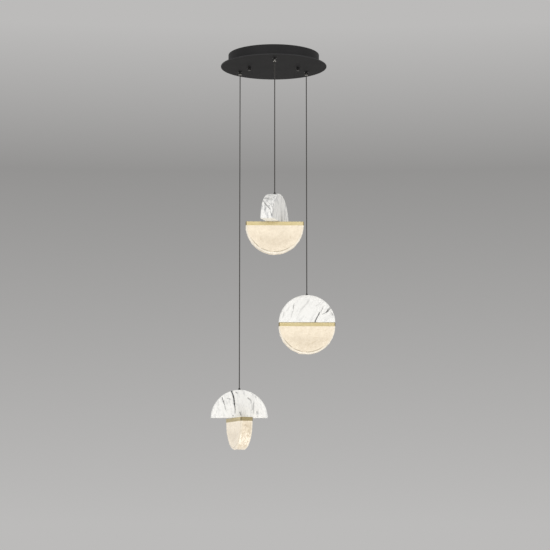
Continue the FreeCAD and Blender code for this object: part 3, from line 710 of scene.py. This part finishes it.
def white_marble(pendant):
    """Honed white stone: drawn-out grey streaks, flecks, hair veins, and dark veins through the block."""
    marble = new_finish("white_marble_" + pendant.name)
    stone = STONES[pendant.name]
    place = marble.place(pendant.zero, pendant.marble_turn)
    bent = bent_place(marble, place)
    ragged = marble.noise(place, RAG_SIZE, detail=4, rough=0.6) * RAG_SPREAD - RAG_DROP
    ragged = marble.math("MAXIMUM", ragged, RAG_LEAST)
    feather = (marble.noise(place, FEATHER_SIZE, detail=2) - 0.5) * FEATHER
    marks = vein_marks(marble, stone, bent, ragged, feather)
    turn = (0, math.radians(stone.streak_turn), 0)
    streaks = marble.noise(marble.drawn_out(bent, (1, 1, 5), turn), STREAK_SIZE, detail=4, rough=0.62)
    stain = (marks * (streaks * STAIN_SPREAD + STAIN_LEAST)).held()
    hair = marble.noise(marble.drawn_out(bent, (1, 1, 3), turn), HAIR_SIZE, detail=3, rough=0.55)
    hair = hair.near(0.5, HAIR_WIDTH)
    cloud = marble.noise(bent, size=45 * MM, detail=3)
    soft = streaks.past(STREAK_LEVEL, STREAK_RISE) * (cloud * (STREAK_SHARE * stone.streaks))
    flecks = marble.noise(marble.drawn_out(bent, (1, 1, 2.4), turn), FLECK_SIZE, detail=3, rough=0.6)
    flecks = ((flecks - FLECK_LEVEL) * FLECK_EDGE).held() * (cloud * stone.flecks)
    soft = (soft + flecks + hair * cloud * HAIR_SHARE).held()
    white = marble.mix(soft, tint(247, 247, 245), tint(196, 197, 198))
    return marble.surface(
        Base_Color=marble.mix(stain, white, tint(32, 33, 35)),
        Roughness=streaks * 0.16 + 0.24,
        Normal=marble.bump(marks, depth=-0.08 * MM, strength=0.2),
    )


def bubbles(glass, place):
    """Fine and coarse bubbles, and the rings round the coarse ones."""
    fine = glass.cells(place, FINE_CELL)
    coarse = glass.cells(place, COARSE_CELL)
    of_cell = Field(glass, coarse.socket.node.outputs["Color"])
    grown = glass.split(of_cell)[0] * COARSE_GROWTH + COARSE_REACH
    bubble = glass.math("MAXIMUM", (1 - fine / FINE_REACH).held(), (1 - coarse / grown).held())
    return bubble, coarse.near(grown * RING_PLACE, RING_WIDTH)


def painted_shade_line(across, below_bar, from_centre, cloud):
    """A line of painted shade inside the rim, which wanders and breaks with the clouds."""
    uneven = from_centre + (cloud - 0.5) * LINE_WANDER
    line = uneven.near(DISC_RADIUS - LINE_INSET, LINE_WIDTH)
    low_side = below_bar.past(LINE_TOP, LINE_RISE) * across.past(LINE_END, -LINE_FADE)
    return line * ((cloud - LINE_GAPS) * LINE_GAP_EDGE).held() * low_side * LINE_SHADE_DEPTH


def bubble_glass(pendant):
    """Cast glass full of fine bubbles that the bar lights from above."""
    glass = new_finish("bubble_glass_" + pendant.name)
    place = glass.place(pendant.zero, pendant.glass_turn)
    across, inward, height = glass.split(place)
    below_bar = -height - BAR_HEIGHT
    from_centre = (across * across + (height + BAR_HEIGHT - CUT_OFFSET) ** 2) ** 0.5
    relief = glass.node("Attribute", {"attribute_name": "relief"}, out="Fac")
    bubble, ring = bubbles(glass, place)
    cloud = glass.noise(place, CLOUD_SIZE, detail=4, rough=0.6)
    near_bar = below_bar.past(BAR_GLOW_REACH, -BAR_GLOW_FADE)
    near_rim = from_centre.past(RIM_GLOW_START, RIM_GLOW_FADE)
    rim = from_centre.past(DISC_RADIUS - RIM_BAND, RIM_BAND_FADE)
    corner = abs(inward).past(SLAB_THICKNESS / 2 - GLASS_EDGE_ROUND - CORNER_FADE, CORNER_FADE)
    line = painted_shade_line(across, below_bar, from_centre, cloud)
    # Painted light and shade in the glow, following the clouds, the relief and the bubbles, with painted
    # dark rings round coarse bubbles.
    rough = (cloud - 0.5) * CLOUD_LIGHT + (relief - 0.5) * (rim * RIM_RELIEF_LIGHT + FACE_RELIEF_LIGHT)
    rough = rough + bubble * BUBBLE_LIGHT - ring * RING_SHADE
    glow = glass.math("MAXIMUM", near_bar * BAR_GLOW, near_rim * RIM_GLOW) - rim * RIM_BAND_SHADE
    glow = (glow + rough * (1 - near_bar * BAR_GLOW_CALM) + PLAIN_GLOW).held()
    light = glass.mix(glow, tint(148, 134, 111), tint(207, 196, 175))
    light = glass.mix(rim * corner * RIM_LIGHT[pendant.name], light, tint(194, 192, 184))
    # The base colour is painted lighter where the glass glows, as painted light.
    body = glass.mix(glow, tint(164, 154, 138), tint(186, 178, 164))
    return glass.surface(
        # The painted shade line darkens both the base colour and the glow.
        Base_Color=glass.mix(line, body, tint(84, 76, 60)),
        Roughness=bubble * 0.2 + 0.12,
        Emission_Color=glass.mix(line, light, tint(92, 82, 60)),
        Emission_Strength=1.0,
        Normal=glass.bump(bubble, depth=0.3 * MM, strength=0.3),
        Coat_Weight=0.6,
        Coat_Roughness=0.08,
    )


def only(kind, parts):
    """The vertices, edges or faces among the parts of a mesh."""
    return [part for part in parts if isinstance(part, kind)]


def draw_line(bm, places):
    """Draws an open line of edges and gives its vertices."""
    corners = [bm.verts.new(place) for place in places]
    for pair in zip(corners, corners[1:]):
        bm.edges.new(pair)
    return corners


def round_off(bm, parts, offset, segments, affect):
    """Rounds edges, or the corners of a line."""
    bmesh.ops.bevel(
        bm,
        geom=parts,
        offset=offset,
        offset_type="OFFSET",
        segments=segments,
        profile=0.5,
        affect=affect,
        material=-1,
    )


def spin_round(bm, axis, steps):
    """Spins a line all round an axis into a closed shape that faces outwards."""
    line = bm.verts[:] + bm.edges[:]
    bmesh.ops.spin(bm, geom=line, axis=axis, angle=math.tau, steps=steps, use_merge=True)
    bmesh.ops.remove_doubles(bm, verts=bm.verts, dist=MERGE_DISTANCE)
    bmesh.ops.recalc_face_normals(bm, faces=bm.faces)


def whole(bm):
    return bm.verts[:] + bm.edges[:] + bm.faces[:]


def cut_across(bm, place, normal, clear=False):
    """Edges all round a shape where a plane goes through it. What lies beyond the plane may be cleared."""
    cut = bmesh.ops.bisect_plane(
        bm,
        geom=whole(bm),
        dist=MERGE_DISTANCE,
        plane_co=place,
        plane_no=normal,
        clear_outer=clear,
    )
    return only(BMEdge, cut["geom_cut"])


def smooth_by_angle(bm, degrees):
    """Smooth shading, apart from edges that fold more sharply than the angle."""
    limit = math.radians(degrees)
    for face in bm.faces:
        face.smooth = True
    for edge in bm.edges:
        edge.smooth = len(edge.link_faces) == 2 and edge.calc_face_angle() < limit


def make_piece(name, bm, finish, body, slot, *nodes):
    """A new piece at the origin that rides on a body and stands for CAD nodes."""
    mesh = bpy.data.meshes.new(name)
    bm.to_mesh(mesh)
    bm.free()
    mesh.materials.append(finish)
    piece = bpy.data.objects.new(name, mesh)
    bpy.context.scene.collection.objects.link(piece)
    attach(piece, body)
    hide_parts(*nodes)
    return piece


def cord_line(pendant):
    """Points down a hanging cord, read from a spline from its top to its foot."""
    middle = (pendant.cord_top + pendant.cord_foot) / 2
    route = (pendant.cord_top, middle, pendant.cord_foot)
    curve = bpy.data.curves.new("cord_route", "CURVE")
    curve.dimensions = "3D"
    curve.resolution_u = CORD_STEPS
    spline = curve.splines.new("NURBS")
    spline.points.add(len(route) - 1)
    for point, place in zip(spline.points, route):
        point.co = (*place, 1)
    spline.order_u = 3
    spline.use_endpoint_u = True
    bare = bpy.data.objects.new("cord_route", curve)
    line = bpy.data.meshes.new_from_object(bare)
    points = [vertex.co.copy() for vertex in line.vertices]
    bpy.data.meshes.remove(line)
    bpy.data.objects.remove(bare)
    bpy.data.curves.remove(curve)
    return points


def wrap_round(bm, top):
    """A UV map with turns round the cord across it and metres down the cord along it."""
    layer = bm.loops.layers.uv.new("wrap")
    for face in bm.faces:
        centre = face.calc_center_median() - top
        facing = math.atan2(centre.y, centre.x)
        for loop in face.loops:
            arm = loop.vert.co - top
            turn = math.remainder(math.atan2(arm.y, arm.x) - facing, math.tau)
            loop[layer].uv = ((facing + turn) / math.tau, -arm.z)


def hang_cord(pendant, finish):
    """A straight tube down the cord's line, riding on the cord's body."""
    points = cord_line(pendant)
    bm = bmesh.new()
    at_top = Matrix.Translation(points[0])
    bmesh.ops.create_circle(bm, cap_ends=True, radius=CORD_DIAMETER / 2, segments=CORD_SIDES, matrix=at_top)
    ring = list(bm.edges)
    for above, below in zip(points, points[1:]):
        made = bmesh.ops.extrude_edge_only(bm, edges=ring)["geom"]
        fresh = only(BMVert, made)
        bmesh.ops.translate(bm, verts=fresh, vec=below - above)
        ring = [edge for edge in only(BMEdge, made) if all(vert in fresh for vert in edge.verts)]
    bmesh.ops.edgeloop_fill(bm, edges=ring)
    bmesh.ops.recalc_face_normals(bm, faces=bm.faces)
    wrap_round(bm, pendant.cord_top)
    smooth_by_angle(bm, CORD_FOLD)
    node = "cord_" + pendant.name
    cord = make_piece("hanging_cord_" + pendant.name, bm, finish, node, "cord_black", node)
    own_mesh(cord)


def rim_place(point):
    """A point of the rim laid out flat, where lumps are finer than on the faces and drawn out along it."""
    arc = math.atan2(point.x, -point.z) * DISC_RADIUS
    return Vector((arc / RIM_DRAW, point.y, math.hypot(point.x, point.z))) * RIM_FINENESS


def glass_relief(point):
    """Height of the cast surface, about -1 to 1: shallow dents, ripples, lumps and pits of open bubbles."""
    dents = noise.voronoi(point / DENT_SIZE)[0][0] - DENT_LEVEL
    ripple = noise.fractal(point / RIPPLE_SIZE, RIPPLE_FALL, RIPPLE_GAP, RIPPLE_OCTAVES)
    lumps = noise.noise(point / LUMP_SIZE)
    pit = max(0.0, 1 - noise.voronoi(point / PIT_SIZE)[0][0] / PIT_REACH)
    return dents * DENT_SHARE + ripple * RIPPLE_SHARE + lumps * LUMP_SHARE - pit * PIT_SHARE


def plain_glass_half():
    """Half disc of glass spun from the profile of its edge, cut flat, with a tongue that enters the bar."""
    bm = bmesh.new()
    half = SLAB_THICKNESS / 2
    outline = ((0, half, 0), (DISC_RADIUS, half, 0), (DISC_RADIUS, -half, 0), (0, -half, 0))
    corners = draw_line(bm, outline)
    round_off(bm, corners[1:3], GLASS_EDGE_ROUND, GLASS_ROUND_STEPS, "VERTICES")
    for edge in [edge for edge in bm.edges if edge.calc_length() > GLASS_EDGE_ROUND]:
        cuts = round(edge.calc_length() / GLASS_GRID) - 1
        bmesh.ops.subdivide_edges(bm, edges=[edge], cuts=cuts)
    spin_round(bm, (0, 1, 0), GLASS_STEPS)
    rim = cut_across(bm, (0, 0, -CUT_OFFSET), UP, clear=True)
    flat = bmesh.ops.edgeloop_fill(bm, edges=rim)["faces"]
    bmesh.ops.inset_region(bm, faces=flat, thickness=TONGUE_INSET, use_even_offset=True)
    raised = bmesh.ops.extrude_face_region(bm, geom=flat)["geom"]
    bmesh.ops.translate(bm, verts=only(BMVert, raised), vec=UP * TONGUE_HEIGHT)
    bmesh.ops.delete(bm, geom=flat, context="FACES_ONLY")
    return bm


def cast_glass(pendant, plain, finish):
    """The glass half of one pendant: the plain half with its own relief, turned and hung under its bar."""
    bm = plain.copy()
    bm.normal_update()
    height = bm.verts.layers.float.new("relief")
    offset = GLASS_SEED * PENDANTS.index(pendant)
    for vert in bm.verts:
        depth = -CUT_OFFSET - vert.co.z
        calm = min(1.0, max(0.0, depth / CALM_DEPTH))
        from_axis = math.hypot(vert.co.x, vert.co.z)
        on_rim = min(1.0, max(0.0, (from_axis - DISC_RADIUS) / GLASS_EDGE_ROUND + 1))
        deep = FACE_RELIEF + (RIM_RELIEF - FACE_RELIEF) * on_rim
        swell = glass_relief(vert.co + offset)
        swell += (glass_relief(rim_place(vert.co) + offset) - swell) * on_rim
        vert[height] = 0.5 + 0.5 * swell
        vert.co += vert.normal * (swell - RELIEF_SINK) * deep * calm
    hang = Matrix.Translation(pendant.zero + UP * (CUT_OFFSET - BAR_HEIGHT))
    turn = Matrix.Rotation(pendant.glass_turn, 4, "Z")
    bmesh.ops.transform(bm, matrix=hang @ turn, verts=bm.verts)
    smooth_by_angle(bm, GLASS_FOLD)
    name = pendant.name
    make_piece("cast_glass_" + name, bm, finish, "lower_" + name, "bubble_glass", "glass_half_" + name)


def knurled_nuts(finish):
    """The two nuts under the plate: each a knurled barrel, a neck and a collar with a chamfered end."""
    low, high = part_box("cap_nuts")
    radius = (high.y - low.y) / 2
    barrel = radius - KNURL_DEPTH
    foot = low.z + NUT_END
    row = (high.z - NUT_SHOULDER - foot) / KNURL_ROWS
    profile = [(0, high.z), (barrel * NUT_SHOULDER_TAPER, high.z), (barrel, high.z - NUT_SHOULDER / 2)]
    profile += [(barrel, foot + row * step) for step in range(KNURL_ROWS, -1, -1)]
    profile += [(barrel - inset, foot - drop) for inset, drop in NUT_NECK]
    profile += [(radius - inset, low.z + rise) for inset, rise in NUT_COLLAR]
    profile.append((0, low.z))
    bm = bmesh.new()
    draw_line(bm, [(across, 0, height) for across, height in profile])
    spin_round(bm, UP, KNURL_TEETH)
    smooth_by_angle(bm, NUT_FOLD)
    band = [face for face in bm.faces if foot < face.calc_center_median().z < foot + row * KNURL_ROWS]
    for face in bmesh.ops.poke(bm, faces=band, offset=KNURL_DEPTH)["faces"]:
        face.smooth = False
    twin = only(BMVert, bmesh.ops.duplicate(bm, geom=whole(bm))["geom"])
    bmesh.ops.translate(bm, verts=twin, vec=(low.x - high.x + 2 * radius, 0, 0))
    bmesh.ops.translate(bm, verts=bm.verts, vec=(high.x - radius, (low.y + high.y) / 2, 0))
    make_piece("knurled_nuts", bm, finish, "canopy", "black_nickel", "cap_nuts")


class DriverCase:
    """Measures of the power supply's case, and which of its faces are pressed in."""

    def __init__(self):
        low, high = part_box("led_driver")
        self.low = low
        self.high = high
        self.middle = (low + high) / 2
        self.length = high.x - low.x - 2 * EAR_LENGTH
        self.width = high.y - low.y
        self.seam = high.z - LID_DEPTH
        self.cover = self.length / 2 - COVER_LENGTH
        self.panel = Vector((self.cover - PANEL_MARGIN, self.width / 2 - PANEL_MARGIN, 0))
        self.vents = [(step - (VENT_COUNT - 1) / 2) * VENT_PITCH for step in range(VENT_COUNT)]

    def in_vent(self, spot, normal):
        beside = min(abs(spot.x - across) for across in self.vents)
        between = VENT_LEVELS[0] < spot.z - self.low.z < VENT_LEVELS[1]
        return abs(normal.y) > FACING and between and beside < VENT_WIDTH / 4

    def on_lid_seam(self, spot, normal):
        return abs(spot.z - self.seam) < CASE_SEAM / 2 and abs(normal.z) < 1 - FACING

    def on_cover_seam(self, spot, _):
        return abs(abs(spot.x) - self.cover) < CASE_SEAM / 2 and spot.z > self.seam + CASE_SEAM

    def on_panel(self, spot, normal):
        on_top = normal.z > FACING and abs(spot.z - self.high.z) < FLUSH
        return on_top and abs(spot.x) < self.panel.x and abs(spot.y - self.middle.y) < self.panel.y


def case_block(case):
    """Block with rounded corners and a rounded upper edge."""
    bm = bmesh.new()
    size = Matrix.Diagonal((case.length, case.width, case.high.z - case.low.z, 1))
    bmesh.ops.create_cube(bm, size=1, matrix=Matrix.Translation(case.middle) @ size)
    upright = [edge for edge in bm.edges if abs(edge.verts[0].co.z - edge.verts[1].co.z) > LID_DEPTH]
    round_off(bm, upright, CASE_CORNER, CASE_CORNER_STEPS, "EDGES")
    lip = [edge for edge in bm.edges if all(vert.co.z > case.seam for vert in edge.verts)]
    round_off(bm, lip, CASE_EDGE, CASE_EDGE_STEPS, "EDGES")
    return bm


def score_case(bm, case):
    """Edges on both sides of the seams and the vents, and round the panel."""
    for side in (-1, 1):
        cut_across(bm, UP * (case.seam + side * CASE_SEAM / 2), UP)
        cut_across(bm, case.middle + case.panel * side, (0, 1, 0))
        cut_across(bm, case.middle + case.panel * side, (1, 0, 0))
        for end in (-1, 1):
            cut_across(bm, Vector((end * case.cover + side * CASE_SEAM / 2, 0, 0)), (1, 0, 0))
        for across in case.vents:
            cut_across(bm, Vector((across + side * VENT_WIDTH / 2, 0, 0)), (1, 0, 0))
    for level in VENT_LEVELS:
        cut_across(bm, UP * (case.low.z + level), UP)
    bm.normal_update()


def chosen_faces(bm, chosen):
    """Faces whose centre and normal are chosen."""
    return [face for face in bm.faces if chosen(face.calc_center_median(), face.normal)]


def sink(bm, depth, chosen):
    """Presses in the chosen faces as one region."""
    faces = chosen_faces(bm, chosen)
    bmesh.ops.inset_region(bm, faces=faces, thickness=SINK_SLOPE, depth=-depth, use_even_offset=True)


def press_case(bm, case):
    """Presses in the vents one by one, the seams of the lid and the covers, and the panel."""
    bmesh.ops.inset_individual(
        bm,
        faces=chosen_faces(bm, case.in_vent),
        thickness=VENT_SLOPE,
        depth=-VENT_DEPTH,
        use_even_offset=True,
    )
    sink(bm, LID_SEAM_DEPTH, case.on_lid_seam)
    sink(bm, COVER_SEAM_DEPTH, case.on_cover_seam)
    sink(bm, PANEL_DEPTH, case.on_panel)


def case_ear(bm, centre):
    """A flat ear with a screw hole: drawn out from the hole to a rectangle, and thickened."""
    at_centre = Matrix.Translation(centre)
    hole = bmesh.ops.create_circle(bm, radius=EAR_HOLE, segments=EAR_HOLE_SIDES, matrix=at_centre)
    ring = list({edge for vert in hole["verts"] for edge in vert.link_edges})
    drawn = bmesh.ops.extrude_edge_only(bm, edges=ring)["geom"]
    for vert in only(BMVert, drawn):
        arm = vert.co - centre
        reach = max(abs(arm.x) / EAR_LENGTH, abs(arm.y) / EAR_WIDTH) * 2
        vert.co = centre + arm / reach
    thick = bmesh.ops.extrude_face_region(bm, geom=only(BMFace, drawn))["geom"]
    bmesh.ops.translate(bm, verts=only(BMVert, thick), vec=UP * EAR_THICKNESS)


def cover_screw(bm, centre):
    """A low tapered screw head, half sunk in its cover."""
    bmesh.ops.create_cone(
        bm,
        cap_ends=True,
        segments=COVER_SCREW_SIDES,
        radius1=COVER_SCREW,
        radius2=COVER_SCREW * COVER_SCREW_TAPER,
        depth=COVER_SCREW_HEIGHT,
        matrix=Matrix.Translation(centre),
    )


def driver_case(finish):
    """Case of the power supply: a seamed lid with a bare panel, two screwed end covers, vents and ears."""
    case = DriverCase()
    bm = case_block(case)
    score_case(bm, case)
    press_case(bm, case)
    for end in (-1, 1):
        case_ear(bm, Vector((end * (case.length + EAR_LENGTH) / 2, case.middle.y, case.low.z)))
        cover_screw(bm, (end * (case.cover + COVER_LENGTH / 2), case.middle.y, case.high.z))
    bmesh.ops.recalc_face_normals(bm, faces=bm.faces)
    smooth_by_angle(bm, CASE_FOLD)
    make_piece("driver_case", bm, finish, "canopy", "driver_white", "led_driver")


def set_camera():
    data = bpy.data.cameras.new("camera")
    data.sensor_width = SENSOR_WIDTH
    data.lens = FOCAL_PIXELS * SENSOR_WIDTH / IMAGE_PIXELS
    data.clip_end = CAMERA_REACH
    camera = bpy.data.objects.new("camera", data)
    camera.location = CAMERA_PLACE
    camera.rotation_euler = Euler((math.pi / 2 + CAMERA_TILT, 0, CAMERA_PAN))
    bpy.context.scene.collection.objects.link(camera)
    bpy.context.scene.camera = camera


def soft_lamp(name, place, size, watts):
    """A round soft lamp that points at the middle of the object and isn't seen itself."""
    middle = (cad_box[0] + cad_box[1]) / 2
    data = bpy.data.lights.new(name, "AREA")
    data.shape = "DISK"
    data.size = size
    data.energy = watts
    lamp = bpy.data.objects.new(name, data)
    lamp.location = place
    lamp.rotation_euler = (Vector(place) - middle).to_track_quat("Z", "Y").to_euler()
    lamp.visible_camera = False
    bpy.context.scene.collection.objects.link(lamp)


def set_floor():
    bm = bmesh.new()
    level = Matrix.Translation((0, 0, -FLOOR_DEPTH))
    bmesh.ops.create_grid(bm, x_segments=1, y_segments=1, size=FLOOR_REACH, matrix=level)
    mesh = bpy.data.meshes.new("floor")
    bm.to_mesh(mesh)
    bm.free()
    mesh.materials.append(moulded("pale_floor", tint(234, 233, 231), roughness=0.7, spark=40 * MM))
    floor = bpy.data.objects.new("floor", mesh)
    bpy.context.scene.collection.objects.link(floor)


def set_backdrop():
    """Plain white light from all round, and a grey that is seen behind the light and in its gloss."""
    world = bpy.data.worlds.new("studio")
    bpy.context.scene.world = world
    air = Finish(world)
    height = air.split(air.node("TexCoord", out="Generated"))[2]
    below = height.past(DARK_HEIGHT, -DARK_FADE_BELOW)
    above = height.past(DARK_HEIGHT, DARK_FADE_ABOVE)
    backdrop = air.mix(air.math("MAXIMUM", below, above), tint(148, 147, 146), tint(188, 187, 186))
    seen = air.node("Background", sockets={"Color": backdrop, "Strength": 1.0})
    light = air.node("Background", sockets={"Color": tint(255, 253, 250), "Strength": PLAIN_LIGHT})
    rays = air.node("LightPath").socket.node.outputs
    shown = [Field(air, rays[name]) for name in ("Is Camera Ray", "Is Glossy Ray", "Is Transmission Ray")]
    share = air.math("MAXIMUM", air.math("MAXIMUM", shown[0], shown[1]), shown[2])
    both = air.node("MixShader", sockets={0: share, 1: light, 2: seen})
    air.node("OutputWorld", sockets={"Surface": both})


def shared_finishes():
    """Finishes that look the same everywhere, by the name of a node or of a slot."""
    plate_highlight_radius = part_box("canopy_plate")[1].x - PLATE_HIGHLIGHT_BAND
    grip_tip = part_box("cord_grips")[0].z + GRIP_TIP
    nut_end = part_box("cap_nuts")[0].z + NUT_END
    return {
        # Plate and drum wear one black coat; the drum's is painted a little lighter than the plate's, as
        # painted light.
        "canopy_black": powder_coat("plate_coat", tint(38, 38, 39), plate_highlight_radius, roughness=0.6, gloss=0.04),
        "canopy_drum": powder_coat("drum_coat_painted_light", tint(43, 43, 44), plate_highlight_radius, roughness=0.5, gloss=0.1),
        "black_nickel": turned_metal(
            "grip_nickel",
            tint(40, 40, 41),
            tip_colour=tint(190, 188, 185),
            tip_top=grip_tip,
            roughness=0.3,
        ),
        "cap_nut": turned_metal(
            "nut_nickel",
            tint(34, 33, 34),
            tip_colour=tint(52, 51, 50),
            tip_top=nut_end,
            roughness=0.36,
        ),
        "ferrule_black": powder_coat(
            "ferrule_coat",
            tint(40, 40, 40),
            plate_highlight_radius,
            roughness=0.45,
            gloss=0.3,
            grain=0.4 * MM,
        ),
        "zinc_steel": zinc_plate("zinc_plate"),
        "terminal_brass": plain_brass("plain_brass"),
        "cord_black": braid("black_braid"),
        "lead_sleeve": moulded("silicone_sleeve", tint(224, 222, 216), roughness=0.5),
        "nylon": moulded("natural_nylon", tint(236, 233, 222), roughness=0.4),
        "rubber_black": moulded("black_rubber", tint(38, 38, 38), roughness=0.75),
        "driver_white": moulded("driver_shell", tint(232, 232, 228), roughness=0.5, spark=0.8 * MM),
        "terminal_cream": moulded("terminal_shell", tint(230, 224, 206), roughness=0.45),
    }


def dress_cad_nodes():
    """Gives every CAD node its own finish, or else the finish of its slot, and gives back the finishes."""
    shared = shared_finishes()
    per_pendant = {
        "champagne_brass": champagne_gold,
        "marble": white_marble,
        "bubble_glass": bubble_glass,
        "board_white": light_board,
        "opal_strip": opal,
    }
    finishes = {(slot, p.name): make(p) for slot, make in per_pendant.items() for p in PENDANTS}
    for name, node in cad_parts.items():
        slot = node.data.materials[0].name
        finish = shared.get(name) or shared.get(slot) or finishes[slot, name.rsplit("_", 1)[1]]
        node.material_slots[0].material = finish
    return shared, finishes


def main():
    bpy.context.scene.view_settings.view_transform = "Standard"
    set_camera()
    for name, (place, size, watts) in LAMPS.items():
        soft_lamp(name, place, size, watts)
    set_floor()
    set_backdrop()
    shared, finishes = dress_cad_nodes()
    knurled_nuts(shared["cap_nut"])
    driver_case(shared["driver_white"])
    plain = plain_glass_half()
    for pendant in PENDANTS:
        hang_cord(pendant, shared["cord_black"])
        cast_glass(pendant, plain, finishes["bubble_glass", pendant.name])
    plain.free()


main()
